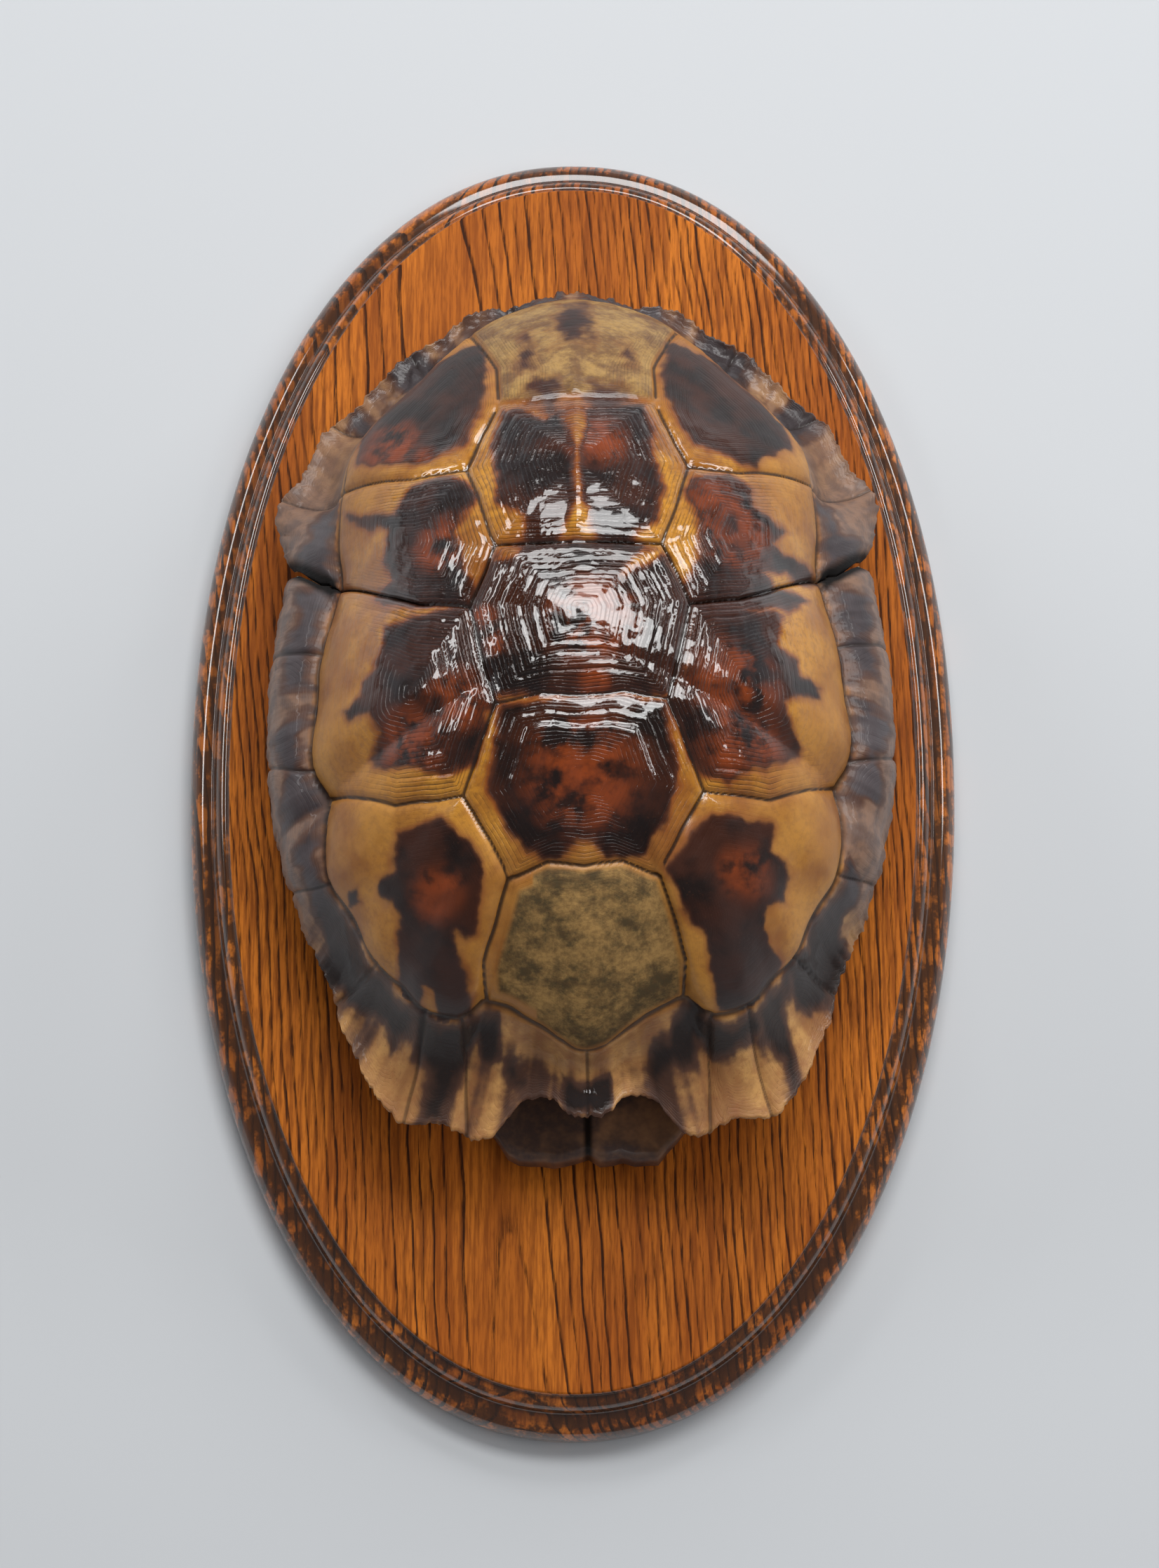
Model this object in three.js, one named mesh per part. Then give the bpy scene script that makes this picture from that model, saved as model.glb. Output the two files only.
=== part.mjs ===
// Shell of a hinge-back tortoise on an oval wooden plaque, in millimetres.
// The plaque lies on its back, +Z points out of its face, and the head end of the shell points to -Y.
import * as THREE from 'three';
import { mergeVertices } from 'three/addons/utils/BufferGeometryUtils.js';

// Driving dimensions of the plaque
const plaqueLength = 341;
const plaqueWidth = 200;
const plaqueThickness = 19;
const plaqueSquareness = 2.1; // exponent of the oval, where 2 is a plain ellipse
const mouldingWidth = 11.6;
const plaqueColumns = 80;

// Driving dimensions of the shell
const shellLength = 218; // from the tip over the neck to the scute over the tail
const crownHeight = 94.5; // above the face of the plaque
const shellShift = new THREE.Vector2(2, 15); // centre of the shell on the plaque
const shellTurn = 1; // degrees, the shell isn't quite in line with the plaque
const domeWall = 4;
const rimWall = 1.8;
const seamDepth = 0.8;
const shoulderWidth = 1.6; // from a seam to the full height of its scute
const scuteRise = 1.3; // height of the old middle of a scute over its edge
const hingeGapTop = 0.35; // half the gap of the hinge on the back
const hingeGapRim = 1.3; // half the gap of the hinge between the marginal scutes
const edgeStep = 7.5; // longest edge along a seam

// Driving dimensions of the plastron, the belly plate
const plastronLift = 0.3; // clear of the plaque
const plastronWall = 5;
const bridgeGap = 0.5; // between the bridge and the rim over it

const half = shellLength / 2;
const bandWidth = 20; // room that the marginal scutes take on the flat chart
const degree = Math.PI / 180;

// Each row is [degrees from the head end, value]. Radii are fractions of half the length, heights of the crown.
const rimRadius = [
  [0, 1.005], [2.5, 0.995], [5, 0.96], [8, 0.965], [10, 1.01], [12, 1.065], [14.5, 1.075], [18, 1.06],
  [22.5, 1.085], [26, 1.065], [29, 1.03], [33, 0.98], [36, 0.955], [38.7, 0.915], [42, 0.885], [48, 0.85],
  [56, 0.81], [64, 0.78], [78, 0.737], [90, 0.717], [103, 0.717], [113, 0.742], [117, 0.77], [125.5, 0.86],
  [129, 0.85], [139.5, 0.893], [143, 0.89], [155.5, 0.94], [159, 0.945], [167, 0.985], [171.5, 0.975], [180, 0.995],
];
const rimHeight = [
  [0, 0.43], [8, 0.4], [14, 0.38], [28, 0.34], [40, 0.285], [55, 0.235], [75, 0.215], [100, 0.21], [120, 0.205],
  [140, 0.19], [160, 0.19], [180, 0.21],
];
const seamRadius = [
  [0, 0.872], [8, 0.826], [16, 0.794], [19, 0.849], [24.7, 0.862], [30, 0.835], [35, 0.819], [42, 0.775],
  [50, 0.748], [59, 0.679], [63.6, 0.638], [70, 0.645], [83, 0.606], [96, 0.589], [104, 0.583], [110.5, 0.587],
  [120, 0.638], [129.2, 0.704], [136, 0.754], [145, 0.789], [152, 0.812], [160, 0.862], [170, 0.922], [180, 0.95],
];
const seamHeight = [
  [0, 0.55], [8, 0.582], [16, 0.603], [25, 0.582], [34, 0.561], [50, 0.54], [90, 0.529], [110, 0.508],
  [130, 0.455], [150, 0.392], [165, 0.349], [180, 0.317],
];
// How far the marginal scutes hang below a straight line from seam to rim: out is radius, down is height
const flareOut = [[0, -2], [40, -1], [60, 4], [110, 4], [130, -2], [180, -1]];
const flareDown = [[0, -4], [40, -6], [60, 7], [110, 7], [130, -7], [165, -5], [180, 1]];
// Roundness of the dome from crown to seam
const domeSharpness = [[0, 2.6], [50, 2.4], [90, 2.3], [130, 2], [180, 1.7]];
const domeFall = [[0, 0.85], [90, 0.8], [180, 0.75]];

// Corners of the scutes of the back, on the right-hand side
const corner = {
  firstWide: [24, -76], firstSecond: [18, -57.4], secondWide: [28.7, -38.2], secondThird: [21, -17.4],
  thirdWide: [26.5, 7.3], thirdFourth: [20, 22.6], fourthWide: [27, 45], fourthFifth: [19.3, 64.2],
  fifthLow: [20, 76],
};
const archFirst = [0, -56];
const archSecond = [0, -15.8];
// Where the side seams meet the marginal scutes, degrees from the head end
const pleuralEnd = { firstSecond: 63.6, hinge: 110.5, thirdFourth: 129.2, fifth: 164 };
// Ends of the seams between the marginal scutes: [degrees at the dome, degrees at the rim]
const marginalSeams = [
  [0, 0], [19, 14.5], [24.7, 22.5], [35, 38.7], [50, 56], [70, 78], [95, 97], [110.5, 115], [129.2, 125.5],
  [145, 139.5], [156, 155.5], [170, 171.5], [180, 180],
];
const hingeMarginal = 7; // the hinge runs after the seventh marginal scute

function lookUp(table, degrees) {
  const at = Math.abs(degrees);
  const next = Math.max(1, table.findIndex(([angle]) => angle >= at));
  const [low, lowValue] = table[next - 1];
  const [high, highValue] = table[next];
  return THREE.MathUtils.mapLinear(at, low, high, lowValue, highValue);
}

// The flat chart is the shell seen from above, with the marginal scutes laid out in a band of even width.
function chartAt(degrees, along) {
  const seam = lookUp(seamRadius, degrees) * half;
  const radius = along <= 1 ? seam * along : seam + (along - 1) * bandWidth;
  return new THREE.Vector2(radius * Math.sin(degrees * degree), -radius * Math.cos(degrees * degree));
}

function surfaceAt(spot) {
  const degrees = Math.atan2(spot.x, -spot.y) / degree;
  const radius = spot.length();
  const seam = lookUp(seamRadius, degrees) * half;
  const seamUp = lookUp(seamHeight, degrees) * crownHeight;
  let out = radius;
  let up = 0;
  if (radius <= seam) {
    const part = (1 - (radius / seam) ** lookUp(domeSharpness, degrees)) ** lookUp(domeFall, degrees);
    up = seamUp + (crownHeight - seamUp) * part;
  } else {
    const part = Math.min(1, (radius - seam) / bandWidth);
    const bend = 4 * part * (1 - part);
    out = seam + (lookUp(rimRadius, degrees) * half - seam) * part + lookUp(flareOut, degrees) * bend;
    up = seamUp + (lookUp(rimHeight, degrees) * crownHeight - seamUp) * part + lookUp(flareDown, degrees) * bend;
  }
  return new THREE.Vector3(out * Math.sin(degrees * degree), -out * Math.cos(degrees * degree), up);
}

function normalAt(spot) {
  const step = 1.5;
  const inward = spot.clone().multiplyScalar(1 - (2 * step) / Math.max(spot.length(), 4 * step));
  const base = spot.length() > 4 * step ? inward : spot;
  const east = surfaceAt(base.clone().add(new THREE.Vector2(step, 0)));
  const west = surfaceAt(base.clone().add(new THREE.Vector2(-step, 0)));
  const north = surfaceAt(base.clone().add(new THREE.Vector2(0, step)));
  const south = surfaceAt(base.clone().add(new THREE.Vector2(0, -step)));
  return east.sub(west).cross(north.sub(south)).normalize();
}

function wallAt(spot) {
  const degrees = Math.atan2(spot.x, -spot.y) / degree;
  const past = (spot.length() - lookUp(seamRadius, degrees) * half) / bandWidth;
  return THREE.MathUtils.lerp(domeWall, rimWall, THREE.MathUtils.clamp(past, 0, 1));
}

// A seam is a list of chart points no further apart than edgeStep
function line(...stops) {
  const points = [stops[0].clone()];
  for (let i = 1; i < stops.length; i += 1) {
    const count = Math.ceil(stops[i - 1].distanceTo(stops[i]) / edgeStep);
    for (let k = 1; k <= count; k += 1) points.push(stops[i - 1].clone().lerp(stops[i], k / count));
  }
  return points;
}

function seamArc(fromDegrees, toDegrees, along) {
  const start = chartAt(fromDegrees, along);
  const count = Math.max(1, Math.ceil(start.distanceTo(chartAt(toDegrees, along)) / edgeStep));
  return Array.from({ length: count + 1 }, (_, k) => (
    chartAt(THREE.MathUtils.lerp(fromDegrees, toDegrees, k / count), along)
  ));
}

const mirrored = (points) => points.map(({ x, y }) => new THREE.Vector2(-x, y));
const backward = (points) => [...points].reverse();
const spot = ([x, y]) => new THREE.Vector2(x, y);
const spots = Object.fromEntries(Object.entries(corner).map(([name, place]) => [name, spot(place)]));

// The line where dome and marginal scutes meet, cut where any seam ends on it
const stopsOnDome = [...new Set([...marginalSeams.map(([inner]) => inner), ...Object.values(pleuralEnd), 8, 16])]
  .sort((a, b) => a - b);

function domeEdge(fromDegrees, toDegrees) {
  const stops = stopsOnDome.filter((stop) => stop >= fromDegrees && stop <= toDegrees);
  return stops.slice(1).flatMap((stop, i) => seamArc(stops[i], stop, 1).slice(i ? 1 : 0));
}

const end = (name) => chartAt(pleuralEnd[name], 1);
const seams = {
  firstSide: line(spots.firstSecond, spots.firstWide, chartAt(16, 1)),
  firstArch: line(spots.firstSecond, spot(archFirst)),
  secondFront: line(spots.secondWide, spots.firstSecond),
  secondRear: line(spots.secondThird, spots.secondWide),
  secondArch: line(spots.secondThird, spot(archSecond)),
  thirdFront: line(spots.thirdWide, spots.secondThird),
  thirdRear: line(spots.thirdFourth, spots.thirdWide),
  thirdArch: line(spots.thirdFourth, new THREE.Vector2(0, spots.thirdFourth.y)),
  fourthFront: line(spots.fourthWide, spots.thirdFourth),
  fourthRear: line(spots.fourthFifth, spots.fourthWide),
  fourthArch: line(spots.fourthFifth, new THREE.Vector2(0, spots.fourthFifth.y)),
  fifthSide: line(spots.fourthFifth, spots.fifthLow, end('fifth')),
  pleuralOne: line(spots.secondWide, end('firstSecond')),
  hinge: line(spots.thirdWide, new THREE.Vector2(39, 10.5), new THREE.Vector2(49, 16), end('hinge')),
  pleuralThree: line(spots.fourthWide, new THREE.Vector2(40, 44.7), end('thirdFourth')),
};

function loop(...parts) {
  const points = parts.flat();
  return points.filter((point, i) => point.distanceTo(points[(i + 1) % points.length]) > 1e-6);
}

// A vertebral scute is given by its right half, from the middle of its head side to that of its tail side
function acrossBack(...parts) {
  const right = parts.flat();
  return loop(right, backward(mirrored(right)));
}

const vertebrals = {
  front: [
    acrossBack(domeEdge(0, 16), backward(seams.firstSide), seams.firstArch),
    acrossBack(backward(seams.firstArch), backward(seams.secondFront), backward(seams.secondRear), seams.secondArch),
    acrossBack(backward(seams.secondArch), backward(seams.thirdFront), backward(seams.thirdRear), seams.thirdArch),
  ],
  rear: [
    acrossBack(backward(seams.thirdArch), backward(seams.fourthFront), backward(seams.fourthRear), seams.fourthArch),
    acrossBack(backward(seams.fourthArch), seams.fifthSide, domeEdge(pleuralEnd.fifth, 180)),
  ],
};

const pleurals = {
  front: [
    loop(domeEdge(16, pleuralEnd.firstSecond), backward(seams.pleuralOne), seams.secondFront, seams.firstSide),
    loop(seams.pleuralOne, domeEdge(pleuralEnd.firstSecond, pleuralEnd.hinge), backward(seams.hinge),
      seams.thirdFront, seams.secondRear),
  ],
  rear: [
    loop(seams.hinge, domeEdge(pleuralEnd.hinge, pleuralEnd.thirdFourth), backward(seams.pleuralThree),
      seams.fourthFront, seams.thirdRear),
    loop(seams.pleuralThree, domeEdge(pleuralEnd.thirdFourth, pleuralEnd.fifth), backward(seams.fifthSide),
      seams.fourthRear),
  ],
};

const tailInner = marginalSeams[marginalSeams.length - 2][0];
const tailOuter = marginalSeams[marginalSeams.length - 2][1];
const tailScute = acrossBack(
  backward(domeEdge(tailInner, 180)),
  line(chartAt(tailInner, 1), chartAt(tailOuter, 2)),
  seamArc(tailOuter, 180, 2),
);
const marginals = marginalSeams.slice(1, -1).map(([inner, outer], i) => {
  const [innerBefore, outerBefore] = marginalSeams[i];
  return loop(
    line(chartAt(innerBefore, 1), chartAt(outerBefore, 2)),
    seamArc(outerBefore, outer, 2),
    line(chartAt(outer, 2), chartAt(inner, 1)),
    backward(domeEdge(innerBefore, inner)),
  );
});

const bothSides = (loops) => loops.flatMap((points) => [points, backward(mirrored(points))]);
const scutes = {
  front: [...vertebrals.front, ...bothSides(pleurals.front), ...bothSides(marginals.slice(0, hingeMarginal))],
  rear: [
    ...vertebrals.rear, tailScute,
    ...bothSides(pleurals.rear), ...bothSides(marginals.slice(hingeMarginal)),
  ],
};

// The hinge runs over the whole back, and each half of the shell ends a little short of it
const hingeSeam = line(chartAt(marginalSeams[hingeMarginal][0], 1), chartAt(marginalSeams[hingeMarginal][1], 2));
const hingeHalf = loop(backward(hingeSeam), backward(seams.hinge), backward(seams.thirdRear), seams.thirdArch);
const hingeLine = loop(hingeHalf, backward(mirrored(hingeHalf))).slice();
const micron = (value) => Math.round(value * 1000) + 0; // adding 0 turns -0 into 0
const keyOf = ({ x, y }) => `${micron(x)},${micron(y)}`;

function hingeOffsets() {
  const offsets = new Map();
  hingeLine.forEach((point, i) => {
    const before = hingeLine[Math.max(0, i - 1)];
    const after = hingeLine[Math.min(hingeLine.length - 1, i + 1)];
    const into = point.clone().sub(before).normalize();
    const outOf = after.clone().sub(point).normalize();
    const along = into.add(outOf).normalize();
    const towardTail = new THREE.Vector2(along.y, -along.x);
    const past = THREE.MathUtils.clamp((Math.abs(point.x) - 40) / 35, 0, 1);
    const gap = THREE.MathUtils.lerp(hingeGapTop, hingeGapRim, past);
    const sharp = Math.max(0.5, Math.abs(along.dot(outOf)));
    offsets.set(keyOf(point), towardTail.multiplyScalar(gap / sharp));
  });
  return offsets;
}

const hingeShift = hingeOffsets();

function meanOf(points) {
  const mean = new THREE.Vector2();
  points.forEach((point) => mean.add(point));
  return mean.divideScalar(points.length);
}

// One half of the carapace: every scute has a sunk seam, a shoulder and a raised middle, over an inner wall
function carapaceGeometry(loops, towardTail) {
  const positions = [];
  const edges = new Map();
  const add = (...corners) => corners.forEach(({ x, y, z }) => positions.push(x, y, z));
  const moved = (point) => {
    const shift = hingeShift.get(keyOf(point));
    return shift ? point.clone().addScaledVector(shift, towardTail) : point;
  };
  const raised = (point, height) => surfaceAt(point).addScaledVector(normalAt(point), height);
  const isRim = (point) => {
    const degrees = Math.atan2(point.x, -point.y) / degree;
    return point.length() > lookUp(seamRadius, degrees) * half + bandWidth - 0.01;
  };

  loops.forEach((points) => {
    const middle = meanOf(points);
    const count = points.length;
    const rings = [
      points.map((point) => raised(moved(point), isRim(point) ? 0 : -seamDepth)),
      points.map((point) => {
        const inset = Math.min(shoulderWidth / point.distanceTo(middle), 0.4);
        return raised(moved(point).clone().lerp(middle, inset), 0);
      }),
      points.map((point) => raised(point.clone().lerp(middle, 0.5), scuteRise * 0.8)),
    ];
    const top = raised(middle, scuteRise);
    const inner = points.map((point) => raised(moved(point), -wallAt(point)));
    const innerTop = raised(middle, -wallAt(middle));
    for (let i = 0; i < count; i += 1) {
      const next = (i + 1) % count;
      for (let ring = 0; ring < 2; ring += 1) {
        add(rings[ring][i], rings[ring][next], rings[ring + 1][next]);
        add(rings[ring][i], rings[ring + 1][next], rings[ring + 1][i]);
      }
      add(rings[2][i], rings[2][next], top);
      add(inner[next], inner[i], innerTop);
      const forward = `${keyOf(points[i])} ${keyOf(points[next])}`;
      const back = `${keyOf(points[next])} ${keyOf(points[i])}`;
      if (edges.has(back)) edges.delete(back);
      else edges.set(forward, [rings[0][i], rings[0][next], inner[i], inner[next]]);
    }
  });
  // Edges that only one scute has are the rim and the hinge, and get a wall down to the inner face
  edges.forEach(([from, to, fromInner, toInner]) => {
    add(to, from, fromInner);
    add(to, fromInner, toInner);
  });
  return closed(positions);
}

function closed(positions) {
  const geometry = new THREE.BufferGeometry();
  geometry.setAttribute('position', new THREE.Float32BufferAttribute(positions, 3));
  return mergeVertices(geometry, 1e-3);
}

// Rings of equal length stacked from the middle of the back to the middle of the front
function stackedRings(rings, first, last) {
  const positions = [];
  const add = (...corners) => corners.forEach(({ x, y, z }) => positions.push(x, y, z));
  const count = rings[0].length;
  for (let i = 0; i < count; i += 1) {
    const next = (i + 1) % count;
    add(first, rings[0][next], rings[0][i]);
    for (let k = 1; k < rings.length; k += 1) {
      add(rings[k - 1][i], rings[k - 1][next], rings[k][next]);
      add(rings[k - 1][i], rings[k][next], rings[k][i]);
    }
    add(rings[rings.length - 1][i], rings[rings.length - 1][next], last);
  }
  return closed(positions);
}

// Section of the plaque's edge, from the back outwards and up: [distance in from the outline, height]
const moulding = [
  [0.8, 0], [0, 0.8], [0, 6.5], [0.7, 9], [2.2, 10.9], [4.4, 11.8], [5.8, 12], [6.7, 12.8], [7.2, 14.4],
  [8, 15.9], [9.2, 16.6], [10.7, 16.8], [mouldingWidth - 0.7, 18.2], [mouldingWidth, plaqueThickness],
];

function plaqueGeometry() {
  const outline = (inset, height) => Array.from({ length: plaqueColumns }, (_, i) => {
    const angle = (i / plaqueColumns) * Math.PI * 2;
    const bend = (value) => Math.sign(value) * Math.abs(value) ** (2 / plaqueSquareness);
    const x = (plaqueWidth / 2) * bend(Math.cos(angle));
    const y = (plaqueLength / 2) * bend(Math.sin(angle));
    const steep = (value, size) => Math.sign(value) * Math.abs(value / size) ** (plaqueSquareness - 1) / size;
    const outward = new THREE.Vector2(steep(x, plaqueWidth / 2), steep(y, plaqueLength / 2)).normalize();
    return new THREE.Vector3(x - outward.x * inset, y - outward.y * inset, height);
  });
  const rings = moulding.map(([inset, height]) => outline(inset, height));
  return stackedRings(rings, new THREE.Vector3(0, 0, 0), new THREE.Vector3(0, 0, plaqueThickness));
}

// Outline of the plastron, [degrees from the head end, millimetres], with the notches for legs and tail
const plastronRadius = [
  [0, 116], [4, 119], [9, 120], [11, 118], [15, 108], [22, 95], [32, 80], [42, 66], [50, 66], [56, 78],
  [60, 86], [66, 83.5], [78, 80], [90, 77.6], [103, 77.6], [110, 79], [116, 66], [122, 56], [130, 56], [140, 62],
  [152, 70], [165, 76], [172, 75], [180, 68],
];
// How high its edge turns up at the gular tip, at the bridges and at the tail
const plastronTurnUp = [
  [0, 11], [12, 10], [30, 5], [46, 2], [54, 8], [60, 14], [66, 14.5], [106, 14.5], [112, 8], [122, 1.5],
  [150, 2], [180, 4],
];
const plastronColumns = 72;
const plastronRings = [0.35, 0.6, 0.78, 0.9, 0.97, 1];

function plastronGeometry() {
  const ring = (part, isTop) => Array.from({ length: plastronColumns }, (_, i) => {
    const degrees = (i / plastronColumns) * 360 - 180;
    const rise = lookUp(plastronTurnUp, degrees);
    const curl = THREE.MathUtils.clamp((part - 0.55) / 0.45, 0, 1) ** 1.8;
    const isBridge = THREE.MathUtils.smoothstep(rise, 8, 13);
    const edge = lookUp(plastronRadius, degrees) - (isTop ? 3.5 * isBridge * curl : 0);
    const radius = edge * part;
    const wall = isTop ? plastronWall * (1 - 0.2 * curl * (1 - isBridge)) : 0;
    return new THREE.Vector3(
      radius * Math.sin(degrees * degree),
      -radius * Math.cos(degrees * degree),
      plastronLift + rise * curl + wall - (isTop ? bridgeGap * isBridge * curl : 0),
    );
  });
  const below = plastronRings.map((part) => ring(part, false));
  const above = backward(plastronRings).map((part) => ring(part, true));
  const middle = (height) => new THREE.Vector3(0, 0, height);
  return stackedRings([...below, ...above], middle(plastronLift), middle(plastronLift + plastronWall));
}

function namedMesh(name, geometry, color, roughness) {
  const mesh = new THREE.Mesh(geometry, new THREE.MeshStandardMaterial({ color, roughness, metalness: 0 }));
  mesh.name = name;
  return mesh;
}

const shell = new THREE.Group();
shell.add(
  namedMesh('carapace_front', carapaceGeometry(scutes.front, -1), 0x4a2a18, 0.3),
  namedMesh('carapace_rear', carapaceGeometry(scutes.rear, 1), 0x5a3a1e, 0.3),
  namedMesh('plastron', plastronGeometry(), 0x33241c, 0.45),
);
shell.position.set(shellShift.x, shellShift.y, plaqueThickness);
shell.rotation.z = shellTurn * degree;

const mounted = new THREE.Group();
mounted.add(namedMesh('plaque', plaqueGeometry(), 0xa85f28, 0.4), shell);

export default mounted;
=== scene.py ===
# %% [markdown]
# # Shell of a hinge-back tortoise on an oval plaque
# The real object is a varnished shell, carapace over plastron, fixed to a moulded oval board.
# Horn scutes cover the bone, and each scute grew by a new ring round its old middle every season.
# The frame holds the exact form, and this lesson builds the fine surface, the colours and the light.

# %% Frame and size
import math
import bmesh
import bpy
import numpy as np
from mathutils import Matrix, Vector
from mathutils.geometry import delaunay_2d_cdt


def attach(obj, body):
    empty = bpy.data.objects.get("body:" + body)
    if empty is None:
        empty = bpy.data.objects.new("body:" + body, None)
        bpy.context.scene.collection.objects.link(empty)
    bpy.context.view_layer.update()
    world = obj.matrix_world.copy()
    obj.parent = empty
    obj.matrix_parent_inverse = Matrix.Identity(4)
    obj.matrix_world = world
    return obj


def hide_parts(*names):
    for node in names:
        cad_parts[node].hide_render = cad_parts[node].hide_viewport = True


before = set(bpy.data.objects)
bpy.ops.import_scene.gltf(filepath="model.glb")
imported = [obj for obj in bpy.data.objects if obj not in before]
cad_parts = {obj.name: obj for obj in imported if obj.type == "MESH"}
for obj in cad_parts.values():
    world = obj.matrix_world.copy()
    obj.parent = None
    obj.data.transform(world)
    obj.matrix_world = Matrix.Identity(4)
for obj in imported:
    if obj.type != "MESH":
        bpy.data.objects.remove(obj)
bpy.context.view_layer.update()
print("frame nodes:", sorted(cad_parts))
MM = 0.001

# %% [markdown]
# The shell is described by rules that run round it. Every table holds a value for an angle from the head
# end, the same on both sides. A monotone curve through the values keeps the scallops of the rim round.
# The flat chart is the shell seen from above, with the marginal scutes laid out in a band of even width.

# %% Shape rules of the shell
HALF = 109.0
CROWN = 94.5
BAND = 20.0
SHELL_SHIFT = (2.0, 15.0, 19.0)
SHELL_TURN = math.radians(1.0)
DOME_WALL = 4.0
RIM_WALL = 1.8
HINGE_GAP_TOP = 0.07
HINGE_GAP_RIM = 0.5

RIM_RADIUS = [
    (0, 1.005), (2.5, 0.995), (5, 0.96), (8, 0.965), (10, 1.01), (12, 1.065), (14.5, 1.075), (18, 1.06),
    (22.5, 1.085), (26, 1.065), (29, 1.03), (33, 0.98), (36, 0.955), (38.7, 0.915), (42, 0.885), (48, 0.85),
    (56, 0.81), (64, 0.78), (78, 0.737), (90, 0.717), (103, 0.717), (113, 0.742), (117, 0.77), (125.5, 0.86),
    (129, 0.85), (139.5, 0.893), (143, 0.89), (155.5, 0.94), (159, 0.945), (167, 0.985), (171.5, 0.975),
    (180, 0.995),
]
RIM_HEIGHT = [
    (0, 0.43), (8, 0.4), (14, 0.38), (28, 0.34), (40, 0.285), (55, 0.235), (75, 0.215), (100, 0.21),
    (120, 0.205), (140, 0.19), (160, 0.19), (180, 0.21),
]
SEAM_RADIUS = [
    (0, 0.872), (8, 0.826), (16, 0.794), (19, 0.849), (24.7, 0.862), (30, 0.835), (35, 0.819), (42, 0.775),
    (50, 0.748), (59, 0.679), (63.6, 0.638), (70, 0.645), (83, 0.606), (96, 0.589), (104, 0.583),
    (110.5, 0.587), (120, 0.638), (129.2, 0.704), (136, 0.754), (145, 0.789), (152, 0.812), (160, 0.862),
    (170, 0.922), (180, 0.95),
]
SEAM_HEIGHT = [
    (0, 0.55), (8, 0.582), (16, 0.603), (25, 0.582), (34, 0.561), (50, 0.54), (90, 0.529), (110, 0.508),
    (130, 0.455), (150, 0.392), (165, 0.349), (180, 0.317),
]
FLARE_OUT = [(0, -2), (40, -1), (60, 4), (110, 4), (130, -2), (180, -1)]
FLARE_DOWN = [(0, -4), (40, -6), (60, 7), (110, 7), (130, -7), (165, -5), (180, 1)]
DOME_SHARPNESS = [(0, 2.6), (50, 2.4), (90, 2.3), (130, 2), (180, 1.7)]
DOME_FALL = [(0, 0.85), (90, 0.8), (180, 0.75)]


def curve_through(table):
    """A function of the angle that passes through every value of a table without overshooting."""
    x, y = np.array(table, float).T
    step = np.diff(x)
    slope = np.diff(y) / step
    tangent = np.zeros(len(x))
    same = slope[:-1] * slope[1:] > 0
    w_one = 2 * step[1:] + step[:-1]
    w_two = step[1:] + 2 * step[:-1]
    safe = np.where(slope == 0, 1, slope)
    mean = (w_one + w_two) / (w_one / safe[:-1] + w_two / safe[1:])
    tangent[1:-1] = np.where(same, mean, 0)

    def value(degrees):
        at = np.clip(np.abs(degrees), x[0], x[-1])
        i = np.clip(np.searchsorted(x, at) - 1, 0, len(step) - 1)
        t = (at - x[i]) / step[i]
        rise = (3 - 2 * t) * t * t
        lead = t * (1 - t) ** 2 * tangent[i] - t * t * (1 - t) * tangent[i + 1]
        return y[i] + (y[i + 1] - y[i]) * rise + step[i] * lead
    return value


rim_radius, rim_height = curve_through(RIM_RADIUS), curve_through(RIM_HEIGHT)
seam_radius, seam_height = curve_through(SEAM_RADIUS), curve_through(SEAM_HEIGHT)
flare_out, flare_down = curve_through(FLARE_OUT), curve_through(FLARE_DOWN)
dome_sharpness, dome_fall = curve_through(DOME_SHARPNESS), curve_through(DOME_FALL)


def chart_at(degrees, along):
    """Chart place of an angle and a part, where 1 is the edge of the dome and 2 the rim."""
    seam = seam_radius(degrees) * HALF
    radius = np.where(along <= 1, seam * along, seam + (along - 1) * BAND)
    angle = np.radians(degrees)
    return np.stack([radius * np.sin(angle), -radius * np.cos(angle)], -1)


def polar_of(chart):
    """Angle and part of chart places, the inverse of chart_at."""
    degrees = np.degrees(np.arctan2(chart[..., 0], -chart[..., 1]))
    radius = np.hypot(chart[..., 0], chart[..., 1])
    seam = seam_radius(degrees) * HALF
    return degrees, np.where(radius <= seam, radius / seam, 1 + (radius - seam) / BAND)


def smooth_surface(chart):
    """Millimetre places of the shell's skin for chart places, before seams and rings."""
    degrees, along = polar_of(chart)
    seam = seam_radius(degrees) * HALF
    seam_up = seam_height(degrees) * CROWN
    inner = np.clip(along, 0, 1)
    dome = seam_up + (CROWN - seam_up) * (1 - inner ** dome_sharpness(degrees)) ** dome_fall(degrees)
    part = np.clip(along - 1, 0, 1.05)
    bend = 4 * part * (1 - part)
    band_out = seam + (rim_radius(degrees) * HALF - seam) * part + flare_out(degrees) * bend
    band_up = seam_up + (rim_height(degrees) * CROWN - seam_up) * part + flare_down(degrees) * bend
    out = np.where(along <= 1, seam * inner, band_out)
    up = np.where(along <= 1, dome, band_up)
    angle = np.radians(degrees)
    return np.stack([out * np.sin(angle), -out * np.cos(angle), up], -1)


def surface_normal(chart, step=1.2):
    """Unit normals of the smooth skin, from its slope over a small step that never leaves the chart."""
    radius = np.hypot(chart[..., 0], chart[..., 1])[..., None]
    base = chart * (1 - 2 * step / np.maximum(radius, 6 * step))
    base = np.where(radius > 6 * step, base, chart)
    east = smooth_surface(base + (step, 0)) - smooth_surface(base - (step, 0))
    north = smooth_surface(base + (0, step)) - smooth_surface(base - (0, step))
    normal = np.cross(east, north)
    return normal / np.linalg.norm(normal, axis=-1, keepdims=True)


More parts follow.
